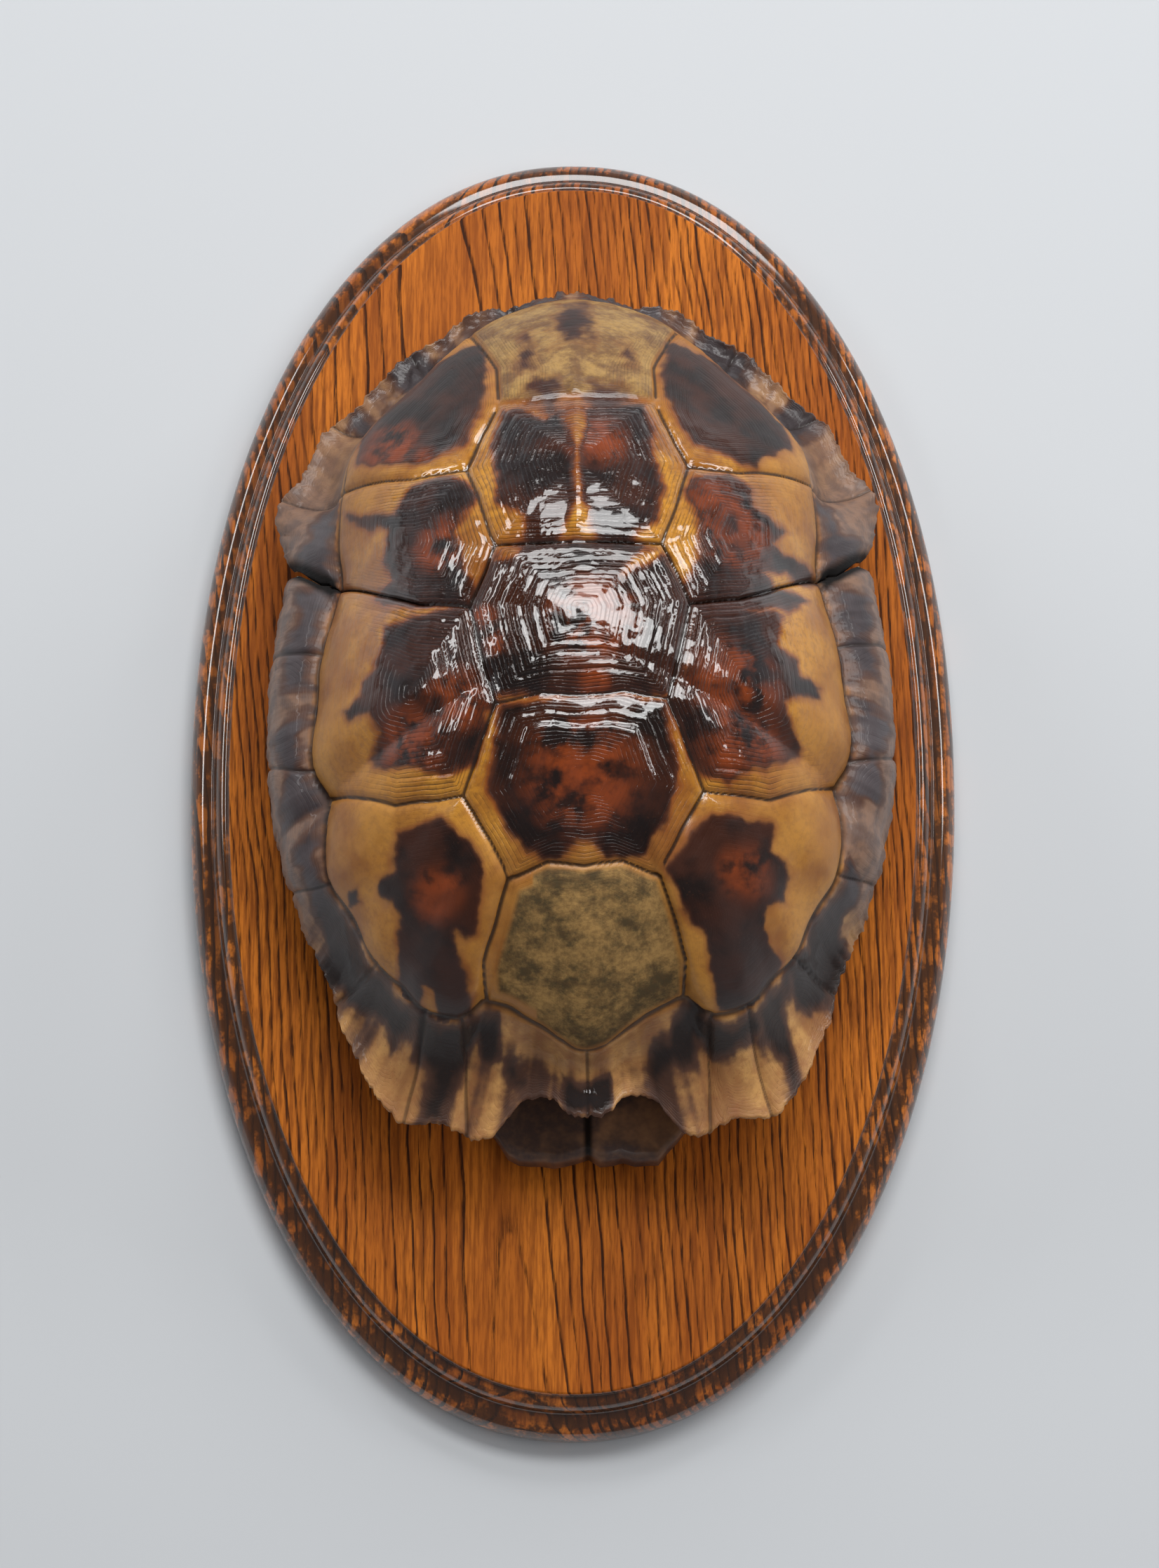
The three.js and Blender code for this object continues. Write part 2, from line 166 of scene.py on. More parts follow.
print("rim reach:", round(float(rim_radius(22.5)) * HALF, 1), "mm")

# %% [markdown]
# Five vertebral scutes run down the back, four pleurals lie on each side, and eleven pairs of marginals
# with one tail scute make the rim. Each seam is a line between corners on the chart. The hinge of this
# kind of tortoise runs across the shell behind the second pleural and the seventh marginal.

# %% Network of scutes
CORNERS = {
    "firstWide": (24, -76), "firstSecond": (18, -57.4), "secondWide": (28.7, -38.2),
    "secondThird": (21, -17.4), "thirdWide": (26.5, 7.3), "thirdFourth": (20, 22.6), "fourthWide": (27, 45),
    "fourthFifth": (19.3, 64.2), "fifthLow": (20, 76), "archFirst": (0, -56), "archSecond": (0, -15.8),
    "archThird": (0, 22.6), "archFourth": (0, 64.2), "hingeOne": (39, 10.5), "hingeTwo": (49, 16),
    "bendThree": (40, 44.7),
}
PLEURAL_ENDS = {"one": 63.6, "hinge": 110.5, "three": 129.2, "five": 164}
MARGINAL_SEAMS = [
    (0, 0), (19, 14.5), (24.7, 22.5), (35, 38.7), (50, 56), (70, 78), (95, 97), (110.5, 115), (129.2, 125.5),
    (145, 139.5), (156, 155.5), (170, 171.5), (180, 180),
]
HINGE_DEGREES = (110.5, 115.0)
PAST_RIM = 2.08


def path(*stops):
    """A chart line through named corners and given places, with a point every two millimetres."""
    places = [np.array(CORNERS[s] if isinstance(s, str) else s, float) for s in stops]
    points = [places[0]]
    for start, end in zip(places, places[1:]):
        count = max(1, math.ceil(np.linalg.norm(end - start) / 2))
        points += [start + (end - start) * (k + 1) / count for k in range(count)]
    return np.array(points)


def arc(from_degrees, to_degrees, along=1.0):
    count = max(2, math.ceil(abs(to_degrees - from_degrees) / 1.5))
    return chart_at(np.linspace(from_degrees, to_degrees, count + 1), np.full(count + 1, along))


def dome_end(name):
    return chart_at(np.array(float(PLEURAL_ENDS[name])), np.array(1.0))


def mirror(points):
    return points * (-1, 1)


def across(*parts):
    right = np.concatenate(parts)
    return np.concatenate([right, mirror(right)[::-1]])


collar = chart_at(np.array(16.0), np.array(1.0))
seams = {
    "firstSide": path("firstSecond", "firstWide", collar),
    "firstArch": path("firstSecond", (9, -54.6), "archFirst"),
    "secondSide": path("firstSecond", "secondWide", "secondThird"),
    "secondArch": path("secondThird", (10, -15.2), "archSecond"),
    "thirdSide": path("secondThird", "thirdWide", "thirdFourth"),
    "thirdArch": path("thirdFourth", "archThird"),
    "fourthSide": path("thirdFourth", "fourthWide", "fourthFifth"),
    "fourthArch": path("fourthFifth", "archFourth"),
    "fifthSide": path("fourthFifth", "fifthLow", dome_end("five")),
    "pleuralOne": path("secondWide", (45, -38.6), dome_end("one")),
    "hinge": path("thirdWide", "hingeOne", "hingeTwo", dome_end("hinge")),
    "pleuralThree": path("fourthWide", "bendThree", dome_end("three")),
}


def split_of(seam, corner):
    return int(np.argmin(np.linalg.norm(seams[seam] - CORNERS[corner], axis=1)))


second_split = split_of("secondSide", "secondWide")
third_split = split_of("thirdSide", "thirdWide")
fourth_split = split_of("fourthSide", "fourthWide")

scutes = {
    "V1": across(arc(0, 16), seams["firstSide"][::-1], seams["firstArch"]),
    "V2": across(seams["firstArch"][::-1], seams["secondSide"], seams["secondArch"]),
    "V3": across(seams["secondArch"][::-1], seams["thirdSide"], seams["thirdArch"]),
    "V4": across(seams["thirdArch"][::-1], seams["fourthSide"], seams["fourthArch"]),
    "V5": across(seams["fourthArch"][::-1], seams["fifthSide"], arc(PLEURAL_ENDS["five"], 180)),
}
pleurals = {
    "P1": [arc(16, PLEURAL_ENDS["one"]), seams["pleuralOne"][::-1], seams["secondSide"][:second_split][::-1],
           seams["firstSide"]],
    "P2": [seams["pleuralOne"], arc(PLEURAL_ENDS["one"], PLEURAL_ENDS["hinge"]), seams["hinge"][::-1],
           seams["thirdSide"][:third_split][::-1], seams["secondSide"][second_split:][::-1]],
    "P3": [seams["hinge"], arc(PLEURAL_ENDS["hinge"], PLEURAL_ENDS["three"]), seams["pleuralThree"][::-1],
           seams["fourthSide"][:fourth_split][::-1], seams["thirdSide"][third_split:][::-1]],
    "P4": [seams["pleuralThree"], arc(PLEURAL_ENDS["three"], PLEURAL_ENDS["five"]), seams["fifthSide"][::-1],
           seams["fourthSide"][fourth_split:][::-1]],
}
for name, parts in pleurals.items():
    scutes[name + "R"] = np.concatenate(parts)
    scutes[name + "L"] = mirror(scutes[name + "R"])
marginal_lines = []
for number, (seam, after) in enumerate(zip(MARGINAL_SEAMS[:-2], MARGINAL_SEAMS[1:-1]), 1):
    start, end = [chart_at(np.array(ends, float), np.array([1.0, PAST_RIM])) for ends in (seam, after)]
    inner, outer = arc(seam[0], after[0]), arc(after[1], seam[1], PAST_RIM)
    scutes[f"M{number}R"] = np.concatenate([inner, end[1:], outer, start])
    scutes[f"M{number}L"] = mirror(scutes[f"M{number}R"])
    marginal_lines += [path(*start), mirror(path(*start))]
tail_inner, tail_outer = MARGINAL_SEAMS[-2]
scutes["T"] = across(arc(180, tail_inner), arc(tail_outer, 180, PAST_RIM))
tail_line = path(*chart_at(np.array([tail_inner, tail_outer], float), np.array([1.0, 2.0])))
marginal_lines += [tail_line, mirror(tail_line)]

hinge_inner, hinge_outer = HINGE_DEGREES
hinge_rim = chart_at(np.array([hinge_inner, hinge_outer, hinge_outer]), np.array([1.0, 2.0, 2.2]))
hinge_half = np.concatenate([
    seams["thirdArch"][::-1], seams["thirdSide"][third_split:][::-1][1:], seams["hinge"][1:], hinge_rim[1:],
])
hinge_line = np.concatenate([mirror(hinge_half)[::-1], hinge_half[1:]])
print("scutes:", len(scutes))


def distance_to(points, lines, signed=False):
    """Shortest chart distance to a set of lines, and if asked negative on the right of the nearest one."""
    best = np.full(len(points), 1e9)
    side = np.ones(len(points))
    for start, end in ((line[k], line[k + 1]) for line in lines for k in range(len(line) - 1)):
        step = end - start
        length = step @ step
        if length < 1e-12:
            continue
        t = np.clip(((points - start) @ step) / length, 0, 1)
        gap = points - start - t[:, None] * step
        square = np.einsum("ij,ij->i", gap, gap)
        if signed:
            turn = step[0] * gap[:, 1] - step[1] * gap[:, 0]
            side = np.where(square < best - 1e-9, np.sign(turn), side)
        best = np.minimum(best, square)
    return np.sqrt(best) * side


def is_inside(points, outline):
    """Which points lie in a closed chart outline."""
    inside = np.zeros(len(points), bool)
    low, high = outline.min(0), outline.max(0)
    near = np.flatnonzero(((points >= low) & (points <= high)).all(1))
    x, y = points[near].T
    hit = np.zeros(len(near), bool)
    for (x0, y0), (x1, y1) in zip(outline, np.roll(outline, -1, 0)):
        if y0 == y1:
            continue
        hit ^= ((y0 > y) != (y1 > y)) & (x < (x1 - x0) * (y - y0) / (y1 - y0) + x0)
    inside[near] = hit
    return inside


all_seams = [line for seam in seams.values() for line in (seam, mirror(seam))]
dome_edge = [arc(-180, 180)]

# %% [markdown]
# A wavering field stands for everything that growth left uneven: seams that wander, stains with ragged
# edges and streaks that run out to the rim. It is a sum of waves with fixed seeds, so every run is the
# same.

# %% Wavering fields
def waver(points, wavelength, seed, octaves=3):
    """A smooth field between about -1 and 1 over chart places, with the given longest wavelength."""
    source = np.random.default_rng(seed)
    total = np.zeros(len(points))
    weight = 1.0
    for octave in range(octaves):
        for _ in range(5):
            angle, phase = source.uniform(0, 2 * np.pi, 2)
            reach = wavelength / 2 ** octave * source.uniform(0.7, 1.4)
            direction = np.array([np.cos(angle), np.sin(angle)]) * 2 * np.pi / reach
            total += weight * np.sin(points @ direction + phase) / 2.5
        weight *= 0.5
    return total / 1.6


def ramp(value, low, high):
    t = np.clip((value - low) / (high - low), 0, 1)
    return t * t * (3 - 2 * t)


# %% [markdown]
# Dark stains on the horn have their own shape on every scute, so each is an outline drawn on the chart,
# from the scute's old middle outwards. Amber islands are drawn the same way and cut out of the stains.
# The distance to an outline lets the finish fade from amber through rust to near black.

# %% Stains and islands
STAINS = {
    "V2": [(-20, -17), (20, -17), (22, -30), (22.5, -38), (18, -49), (15, -54), (5, -54.5), (2.5, -50),
           (-2, -50), (-5, -54), (-9, -54), (-16, -51), (-19, -46), (-22.5, -38), (-21.5, -28)],
    "V3": [(-24, -16), (24, -16), (28, 7), (21, 19), (12, 24), (-12, 24), (-20, 20), (-28, 7)],
    "V4L": [(-18, 62), (-12, 60), (-8, 58), (-3, 61), (-2.2, 54), (-0.4, 49), (-0.4, 34), (-5, 22),
            (-13, 22), (-13, 30), (-19, 34), (-20.5, 44), (-20, 54)],
    "V4R": [(2, 61), (12, 62), (17, 62), (19, 56), (18, 46), (21, 36), (18, 28), (12, 22), (5, 22),
            (0.4, 34), (0.4, 49), (1.8, 54)],
    "V5a": [(-12, 72), (-3, 73), (-1.5, 64), (-2, 55), (-8, 56), (-10, 61), (-13, 66)],
    "V5b": [(2, 60), (3, 68), (12, 70), (14, 64), (10, 57), (5, 54)],
    "V5c": [(-6, 80), (6, 80), (7, 92), (4, 100), (-4, 100), (-7, 92)],
    "V5d": [(-16, 70), (-9, 72), (-8, 85), (-12, 88), (-17, 80)],
    "V5e": [(11, 74), (16, 75), (15, 84), (10, 84)],
    "P1La": [(-45, -45), (-34, -43), (-27, -48), (-24, -54), (-24.5, -63), (-26, -70), (-28.5, -71),
             (-31, -69), (-28.5, -78), (-27, -88), (-36, -88), (-37.2, -81), (-38.8, -80), (-40, -88),
             (-47, -85), (-45, -76), (-45, -68), (-45, -63), (-50, -58), (-50, -54), (-45, -53),
             (-46, -49)],
    "P1Lb": [(-58, -55), (-54, -55), (-53.5, -58.5), (-58, -59.5)],
    "P1R": [(30, -43), (46, -44), (45, -50), (50, -54), (48.5, -62), (43.5, -63), (43, -68), (47, -74),
            (46, -81), (40, -87), (31, -87), (29.5, -77), (28.5, -71), (25, -68), (21, -60), (19, -56),
            (24, -50)],
    "P2L": [(-27, 8), (-35, 7), (-47, 6), (-48, 1), (-49, -4), (-53, -7), (-53, -11), (-57.5, -13),
            (-56, -16), (-51, -16), (-48, -20), (-51, -26), (-49, -29), (-40, -31), (-31, -33), (-25, -31),
            (-22, -22), (-20, -17), (-24, -6)],
    "P2R": [(27, 8), (36, 8), (48, 7), (47, 0), (50, -2), (53, -4), (53, -7), (58.5, -8), (58.5, -12),
            (52, -13.5), (48, -15), (50, -19), (53.5, -24), (50, -29), (42, -32), (35, -35), (29, -35),
            (25, -29), (20, -18), (25, -8)],
    "P3La": [(-27, 42), (-34, 43), (-42, 41), (-44, 36), (-51, 37), (-58, 42), (-57, 39), (-51, 33.5),
             (-47, 32), (-47, 24), (-45, 18), (-50, 16), (-48, 12), (-38, 9), (-26, 6), (-25, 12),
             (-28, 20), (-29, 27), (-26, 33), (-24, 38)],
    "P3R": [(26, 38), (31, 42), (38, 43), (42, 40), (43, 35), (47, 34), (51, 31), (47, 27), (50, 25),
            (58, 24), (61, 20), (55, 19), (44, 19), (48, 16), (56, 14), (50, 9), (38, 7), (26, 6), (25, 12),
            (29, 21), (28, 30)],
    "P4L": [(-21.5, 82), (-21.5, 70), (-24, 60), (-28, 52), (-34, 49), (-42, 48.5), (-48, 50), (-55, 54),
            (-54, 62), (-46, 74), (-34, 84), (-24, 88)],
    "P4R": [(21.5, 78), (21, 68), (24.5, 58), (28.5, 51.5), (35, 49), (44, 46.5), (46, 50), (54, 55),
            (52, 64), (42, 76), (32, 84), (23, 86)],
}
ISLANDS = {
    "V3L": [(-20, 18), (-15, 18.5), (-14, 21), (-19, 23)],
    "V3R": [(10, 13), (13, 18), (17, 20.5), (21, 21), (19, 18.5), (14, 16)],
    "V4": [(-5, 23), (4, 23), (2.5, 31), (-2, 31)],
    "P3Li": [(-27, 30), (-24, 30), (-23, 18), (-26, 17), (-28, 21)],
    "P3Ri": [(23, 28), (27, 27), (29, 22), (27, 16), (24, 19)],
    "V2L": [(-23, -19), (-20, -19), (-20, -25), (-23, -25)],
}
# Stains of the rim are drawn by angle from the head end and by part, from 1 at the dome to 2 at the edge
RIM_STAINS = [
    [(-3.8, 1.5), (3.8, 1.5), (4.4, 1.95), (2.5, 2.04), (-2.5, 2.04), (-4.4, 1.95)],
    [(-19, 1.0), (-14, 1.08), (-9, 1.45), (-7.5, 1.8), (-9, 1.95), (-11, 1.75), (-13, 1.5), (-16, 1.4),
     (-17, 1.9), (-16.4, 2.1), (-21.5, 2.1), (-22.5, 1.55), (-25, 1.5), (-27, 1.0)],
    [(-62, 1.0), (-24, 1.0), (-25, 1.3), (-27, 1.6), (-31, 1.55), (-34, 1.7), (-42, 2.1), (-47, 2.1),
     (-45, 1.7), (-52, 1.45), (-60, 1.5)],
    [(17, 1.0), (13, 1.08), (9.5, 1.3), (8, 1.7), (9.5, 1.9), (11, 1.7), (12.5, 1.55), (15, 1.6), (17, 1.4),
     (20, 1.5), (24, 1.42), (27, 1.3), (27, 1.0)],
    [(25, 1.0), (34, 1.0), (31, 1.5), (29.5, 1.75), (27, 2.1), (24.5, 2.1), (25.6, 1.7), (24, 1.4)],
    [(33, 1.0), (56, 1.0), (52, 1.5), (46, 1.6), (44, 2.1), (36.5, 2.1), (36, 1.8), (33, 1.65), (31, 1.5),
     (32, 1.3)],
    [(-128.5, 1.0), (-112, 1.0), (-112, 1.5), (-116, 1.75), (-119, 1.6), (-122, 1.5), (-127, 1.45)],
    [(112, 1.0), (128, 1.0), (126, 1.35), (119, 1.4), (117, 1.75), (112, 1.7)],
    [(-146, 1.4), (-141, 1.3), (-140, 1.9), (-145, 2.1)],
    [(-163, 1.0), (-151, 1.0), (-150, 2.1), (-158, 2.1), (-160, 1.6), (-163, 1.9)],
    [(-179.9, 1.0), (-168, 1.0), (-168, 2.1), (-179.9, 2.1)],
    [(137.5, 1.0), (146.5, 1.0), (146, 2.1), (138, 2.1)],
    [(151, 1.0), (161, 1.0), (161, 2.1), (151, 2.1)],
    [(166.5, 1.0), (179.9, 1.0), (179.9, 2.1), (167, 2.1)],
    [(-111, 1.0), (-86, 1.0), (-88, 1.4), (-96, 1.55), (-104, 1.4), (-109, 1.6)],
    [(-84, 1.0), (-62, 1.0), (-63, 1.6), (-72, 1.4), (-80, 1.7)],
    [(110, 1.0), (86, 1.0), (88, 1.5), (95, 1.4), (106, 1.65)],
    [(84, 1.0), (62, 1.0), (64, 1.6), (74, 1.4), (82, 1.7)],
]
SOFT_RIM_STAINS = [
    [(-14, 1.45), (-6, 1.62), (0, 1.5), (6, 1.6), (14, 1.4), (13, 2.1), (-13, 2.1)],
    [(-48, 1.3), (-36, 1.5), (-30, 1.4), (-30, 2.1), (-38, 2.1), (-50, 2.1)],
    [(-179.9, 1.0), (-147, 1.0), (-147, 2.1), (-179.9, 2.1)],
    [(147, 1.0), (179.9, 1.0), (179.9, 2.1), (147, 2.1)],
]
STAIN_MM_PER_DEGREE = 1.5
# Rust-red zones round the old middles: chart centre and radius
RUST = [
    (-35, -60, 8), (38, -56, 8), (-40, -24, 11), (36, -12, 13), (38, -26, 12), (-32, 24, 9), (36, 28, 13),
    (33, 33, 10), (3, 2, 14), (-23, 4, 4), (-20, -3, 4), (3, -13, 5), (0, -34, 17), (5, 50, 9),
    (-46, 56, 10), (-30, -16, 10), (-37, 48, 6), (24, 24, 4), (-25, 26, 5),
]


def signed_distance(points, outline):
    """Chart distance to a closed outline, positive inside."""
    low, high = outline.min(0) - 6, outline.max(0) + 6
    near = np.flatnonzero(((points >= low) & (points <= high)).all(1))
    result = np.full(len(points), -6.0)
    closed = np.concatenate([outline, outline[:1]])
    gap = distance_to(points[near], [closed])
    result[near] = np.where(is_inside(points[near], outline), gap, -gap)
    return np.maximum(result, -6.0)


def stain_field(points):
    """Signed distance into the stains, with the islands cut out again."""
    wandering = points + np.stack([waver(points, 9, 3), waver(points, 9, 4)], -1) * 0.7
    field = np.full(len(points), -6.0)
    for name, outline in STAINS.items():
        # Stains of the fifth vertebral are blurred
        depth = signed_distance(wandering, np.array(outline, float)) * (0.25 if name[:2] == "V5" else 1.0)
        field = np.maximum(field, depth)
    # Rim stains are measured along the rim and outward, in millimetres, and the soft ones stay thin
    degrees, along = polar_of(wandering)
    scale = (STAIN_MM_PER_DEGREE, BAND)
    on_rim = np.stack([degrees, along], -1) * scale
    rim_field = np.full(len(points), -6.0)
    for outlines, slope, most in ((RIM_STAINS, 1.0, np.inf), (SOFT_RIM_STAINS, 0.3, 0.7)):
        for outline in outlines:
            depth = signed_distance(on_rim, np.array(outline, float) * scale)
            rim_field = np.maximum(rim_field, np.minimum(depth * slope, most))
    field = np.where(along > 1, rim_field, field)
    for outline in ISLANDS.values():
        field = np.minimum(field, -signed_distance(wandering, np.array(outline, float)))
    return field


def rust_field(points):
    field = np.zeros(len(points))
    for x, y, reach in RUST:
        away = np.hypot(points[:, 0] - x, points[:, 1] - y) / reach
        field = np.maximum(field, 1 - ramp(away, 0.35, 1.1))
    return field * np.clip(0.85 + 0.4 * waver(points, 12, 11), 0, 1)


print("stains:", len(STAINS) + len(RIM_STAINS), "islands:", len(ISLANDS))

# %% [markdown]
# Growth rings are copies of the scute's outline, shrunk towards its old middle. The part of the way from
# that middle to the edge, times the number of rings, gives every place a ring count. Each ring is a low
# ridge in the mesh, and the finish adds finer ones from the same count.

# %% Growth of each scute
# Old middle of a scute, its number of rings, and how strongly they show
GROWTH = {
    "V1": ((0, -72), 14, 0.08), "V2": ((0, -35), 14, 0.35), "V3": ((0.5, 5), 15, 1.0),
    "V4": ((0, 45), 14, 0.9), "V5": ((0, 72), 14, 0.35), "P1": ((36, -62), 15, 0.06),
    "P2": ((40, -12), 14, 0.9), "P3": ((40, 27), 12, 0.9), "P4": ((34, 60), 15, 0.3),
    "M": (None, 10, 0.15), "T": (None, 10, 0.3),
}


def growth_of(name):
    key = name if name in GROWTH else name[:2] if name[:2] in GROWTH else name[0]
    centre, rings, strength = GROWTH[key]
    if centre is None:
        centre = scutes[name].mean(0)
    elif name.endswith("L"):
        centre = (-centre[0], centre[1])
    return np.array(centre, float), rings, strength


def bearing_and_reach(offset):
    return np.arctan2(offset[:, 1], offset[:, 0]), np.hypot(offset[:, 0], offset[:, 1])


def growth_fields(points, wandering):
    """For every point its scute, its part of the way out from the middle, its ring and how that shows."""
    label = np.full(len(points), -1)
    part, rings, strength = np.zeros((3, len(points)))
    for index, (name, outline) in enumerate(scutes.items()):
        inside = is_inside(wandering, outline) & (label < 0)
        label[inside] = index
        centre, count, show = growth_of(name)
        bearing, reach = bearing_and_reach(outline - centre)
        order = np.argsort(bearing)
        own_bearing, own_reach = bearing_and_reach(wandering[inside] - centre)
        edge = np.interp(own_bearing, bearing[order], reach[order], period=2 * np.pi)
        part[inside] = np.clip(own_reach / edge, 0, 1.02)
        rings[inside] = part[inside] * count
        inner_side = 1 - 0.85 * ramp(np.abs(points[inside, 0]), 38, 52)
        strength[inside] = show * (inner_side if name[0] == "P" else 1)
    # The old middle of a scute is worn smooth
    return label, part, rings, strength * (0.2 + 0.8 * ramp(part, 0.12, 0.42))


# %% Relief of the skin
# Heights in millimetres
SWELL = 1.0
SEAM_GROOVE, RIM_GROOVE, GROOVE_WIDTH = 0.7, 0.45, 0.5
PAUSE_STEP, PAUSES = 0.08, 8.0
RING_LEAN, RING_CROWN = 0.28, 0.36
PLATEAU, KEEL, CREASE = 0.6, 0.7, 0.5
NUB, NUB_KNOBS, REAR_KNOBS = 1.6, 0.35, 0.6
HINGE_HOLLOW, HINGE_DIP = 1.9, 0.25
RIBS, RING_GRIT, FINE_GRIT, DENTS = 0.22, 0.05, 0.06, 0.25
RIM_MM_PER_DEGREE = 1.9


def bell(value, width):
    return np.exp(-(value / width) ** 2)


def rear_rim_of(along, degrees):
    return ramp(along, 1.2, 1.5) * ramp(np.abs(degrees), 140, 148)


def shell_fields(points):
    """Everything that a point of the skin carries: scute, height over the smooth skin, colours and rings."""
    x, y = points.T
    steps = np.stack([waver(points, 26, 1), waver(points, 26, 2)], -1) * 0.45
    fade_out = ramp(np.abs(x), 0.0, 2.0)
    wandering = points + steps * np.stack([fade_out, np.ones_like(fade_out)], -1)
    degrees, along = polar_of(points)
    label, part, rings, strength = growth_fields(points, wandering)
    seam_gap = distance_to(wandering, all_seams + dome_edge)
    rim_gap = distance_to(wandering, marginal_lines)
    gap = np.minimum(seam_gap, rim_gap)
    on_band = ramp(along, 1.0, 1.04)

    # Valleys between the scutes, each with a groove in its floor, healed behind the fourth vertebral
    second = label == list(scutes).index("V2")
    height = SWELL * (1 - np.exp(-gap / 1.9)) * (1 - 0.4 * on_band) * (1 - 0.45 * second)
    healed = ramp(distance_to(wandering, [seams["fourthArch"], mirror(seams["fourthArch"])]), 0.8, 2.0)
    height -= SEAM_GROOVE * bell(seam_gap, GROOVE_WIDTH) * (0.3 + 0.7 * healed)
    height -= RIM_GROOVE * bell(rim_gap, GROOVE_WIDTH)
    # Steps where growth paused, and each ring as a low ridge that leans its own way
    pause = np.abs(((part * PAUSES + 0.15 * waver(points, 14, 5)) % 1.0) - 0.5) * 2
    height += strength * PAUSE_STEP * (1 - pause) * ramp(gap, 0.6, 2.5) * (part > 0.25)
    phase = rings % 1.0 - 0.5
    lean = 2 * ((np.floor(rings) * 0.618) % 1.0) - 1
    uneven = 1 + 0.8 * waver(points, 9, 64, 2)
    ridge = RING_LEAN * lean * phase - RING_CROWN * phase ** 2
    height += strength * uneven * ridge * ramp(gap, 0.4, 1.4)
    # The plateau of the second vertebral, the keel behind it and the crease before it
    plateau = ramp(1 - part, 0.36, 0.41) + 0.35 * ramp(1 - part, 0.22, 0.25)
    height += PLATEAU * plateau * second
    height += KEEL * bell(x, 1.7) * ramp(y, 14, 30) * (1 - ramp(y, 72, 88)) * (1 - np.exp(-gap / 1.5))
    height -= CREASE * bell(x, 2.0) * ramp(-y, 20, 26) * (1 - ramp(-y, 44, 50))
    # The nuchal swelling at the very front and the knobs of the rear rim
    nub = bell(degrees, 2.6) * bell(along - 1.72, 0.16)
    rear_rim = rear_rim_of(along, degrees)
    height += NUB * nub + (NUB_KNOBS * nub + REAR_KNOBS * rear_rim) * waver(points, 8.0, 61, 2)
    # The hollow at the hinge of the rim, and a shallower dip along the hinge on the sides of the dome
    hinge_gap = distance_to(points, [hinge_line])
    past_edge = ramp(along, 0.97, 1.2)
    height -= HINGE_HOLLOW * bell(hinge_gap, 2.4) * past_edge
    height -= HINGE_DIP * bell(hinge_gap, 1.0) * (1 - past_edge) * ramp(np.abs(x), 24, 32)
    # Ribs that run out to the edge, and the unevenness of all horn
    spoke = np.stack([degrees * RIM_MM_PER_DEGREE, along * 2.2], -1)
    height += on_band * RIBS * waver(spoke, 9, 21, 4)
    height += RING_GRIT * strength * waver(points, 4.5, 65, 2) + FINE_GRIT * waver(points, 7, 22, 4)
    height += DENTS * waver(points, 24, 23, 2) * ramp(gap, 0, 5)
    return {
        "label": label, "height": height, "gap": gap, "rings": rings, "hinge_gap": hinge_gap,
        "strength": strength * ramp(gap, 0.4, 1.2), "healed": healed, "along": along, "degrees": degrees,
        "streak": waver(spoke * (1, 0.45), 11, 31, 4), "chart": points,
    }


# %% [markdown]
# The outer skin is a square grid of points squeezed into a disc, so cells stay even all over and no pole
# is pinched. The disc's inner part is the dome and its outer part the marginal band. The two halves part
# along the hinge, and points of the cells that the hinge crosses slide onto its line.

# %% Skin of the carapace
CELLS, INNER_CELLS = 376, 72
DOME_PART = 0.8


def skin_grid(cells):
    side = np.linspace(-1, 1, cells + 1)
    u, v = np.meshgrid(side, side)
    x = u * np.sqrt(1 - v * v / 2)
    y = v * np.sqrt(1 - u * u / 2)
    radius = np.hypot(x, y)
    along = np.where(radius <= DOME_PART, radius / DOME_PART, 1 + (radius - DOME_PART) / (1 - DOME_PART))
    degrees = np.degrees(np.arctan2(x, -y))
    return chart_at(degrees, np.minimum(along, 2.0)).reshape(-1, 2)


def past_hinge(points, toward_tail):
    """Chart distance of points past the cut beside the hinge, on the side of the tail or of the head."""
    sideways = np.clip((np.abs(points[:, 0]) - 56) / 16, 0, 1)
    half_gap = HINGE_GAP_TOP + (HINGE_GAP_RIM - HINGE_GAP_TOP) * sideways
    return distance_to(points, [hinge_line], signed=True) * toward_tail - half_gap


def half_skin(grid, cells, toward_tail):
    """Chart points and quads of one half, cut cleanly a little short of the hinge."""
    keep = past_hinge(grid, toward_tail) > 0
    index = np.arange((cells + 1) ** 2).reshape(cells + 1, cells + 1)
    quads = np.stack([index[:-1, :-1], index[:-1, 1:], index[1:, 1:], index[1:, :-1]], -1).reshape(-1, 4)
    quads = quads[keep[quads].any(1)]
    points = grid.copy()
    used = np.unique(quads)
    slide = used[~keep[used]]
    step = 0.05
    for _ in range(4):
        here = points[slide]
        value = past_hinge(here, toward_tail)
        dx, dy = [(past_hinge(here + move, toward_tail) - value) / step for move in ((step, 0), (0, step))]
        square = np.maximum(dx * dx + dy * dy, 0.2)
        points[slide] = here - np.stack([dx, dy], -1) * (value / square)[:, None]
    lookup = np.full(len(grid), -1)
    lookup[used] = np.arange(len(used))
    return points[used], lookup[quads]


def boundary_loop(quads):
    """The single closed loop of edges that only one quad has."""
    edges = np.concatenate([quads[:, [k, (k + 1) % 4]] for k in range(4)])
    known = {(a, b) for a, b in edges.tolist()}
    after = {a: b for a, b in known if (b, a) not in known}
    start = next(iter(after))
    loop = [start]
    while after[loop[-1]] != start:
        loop.append(after[loop[-1]])
    return np.array(loop)


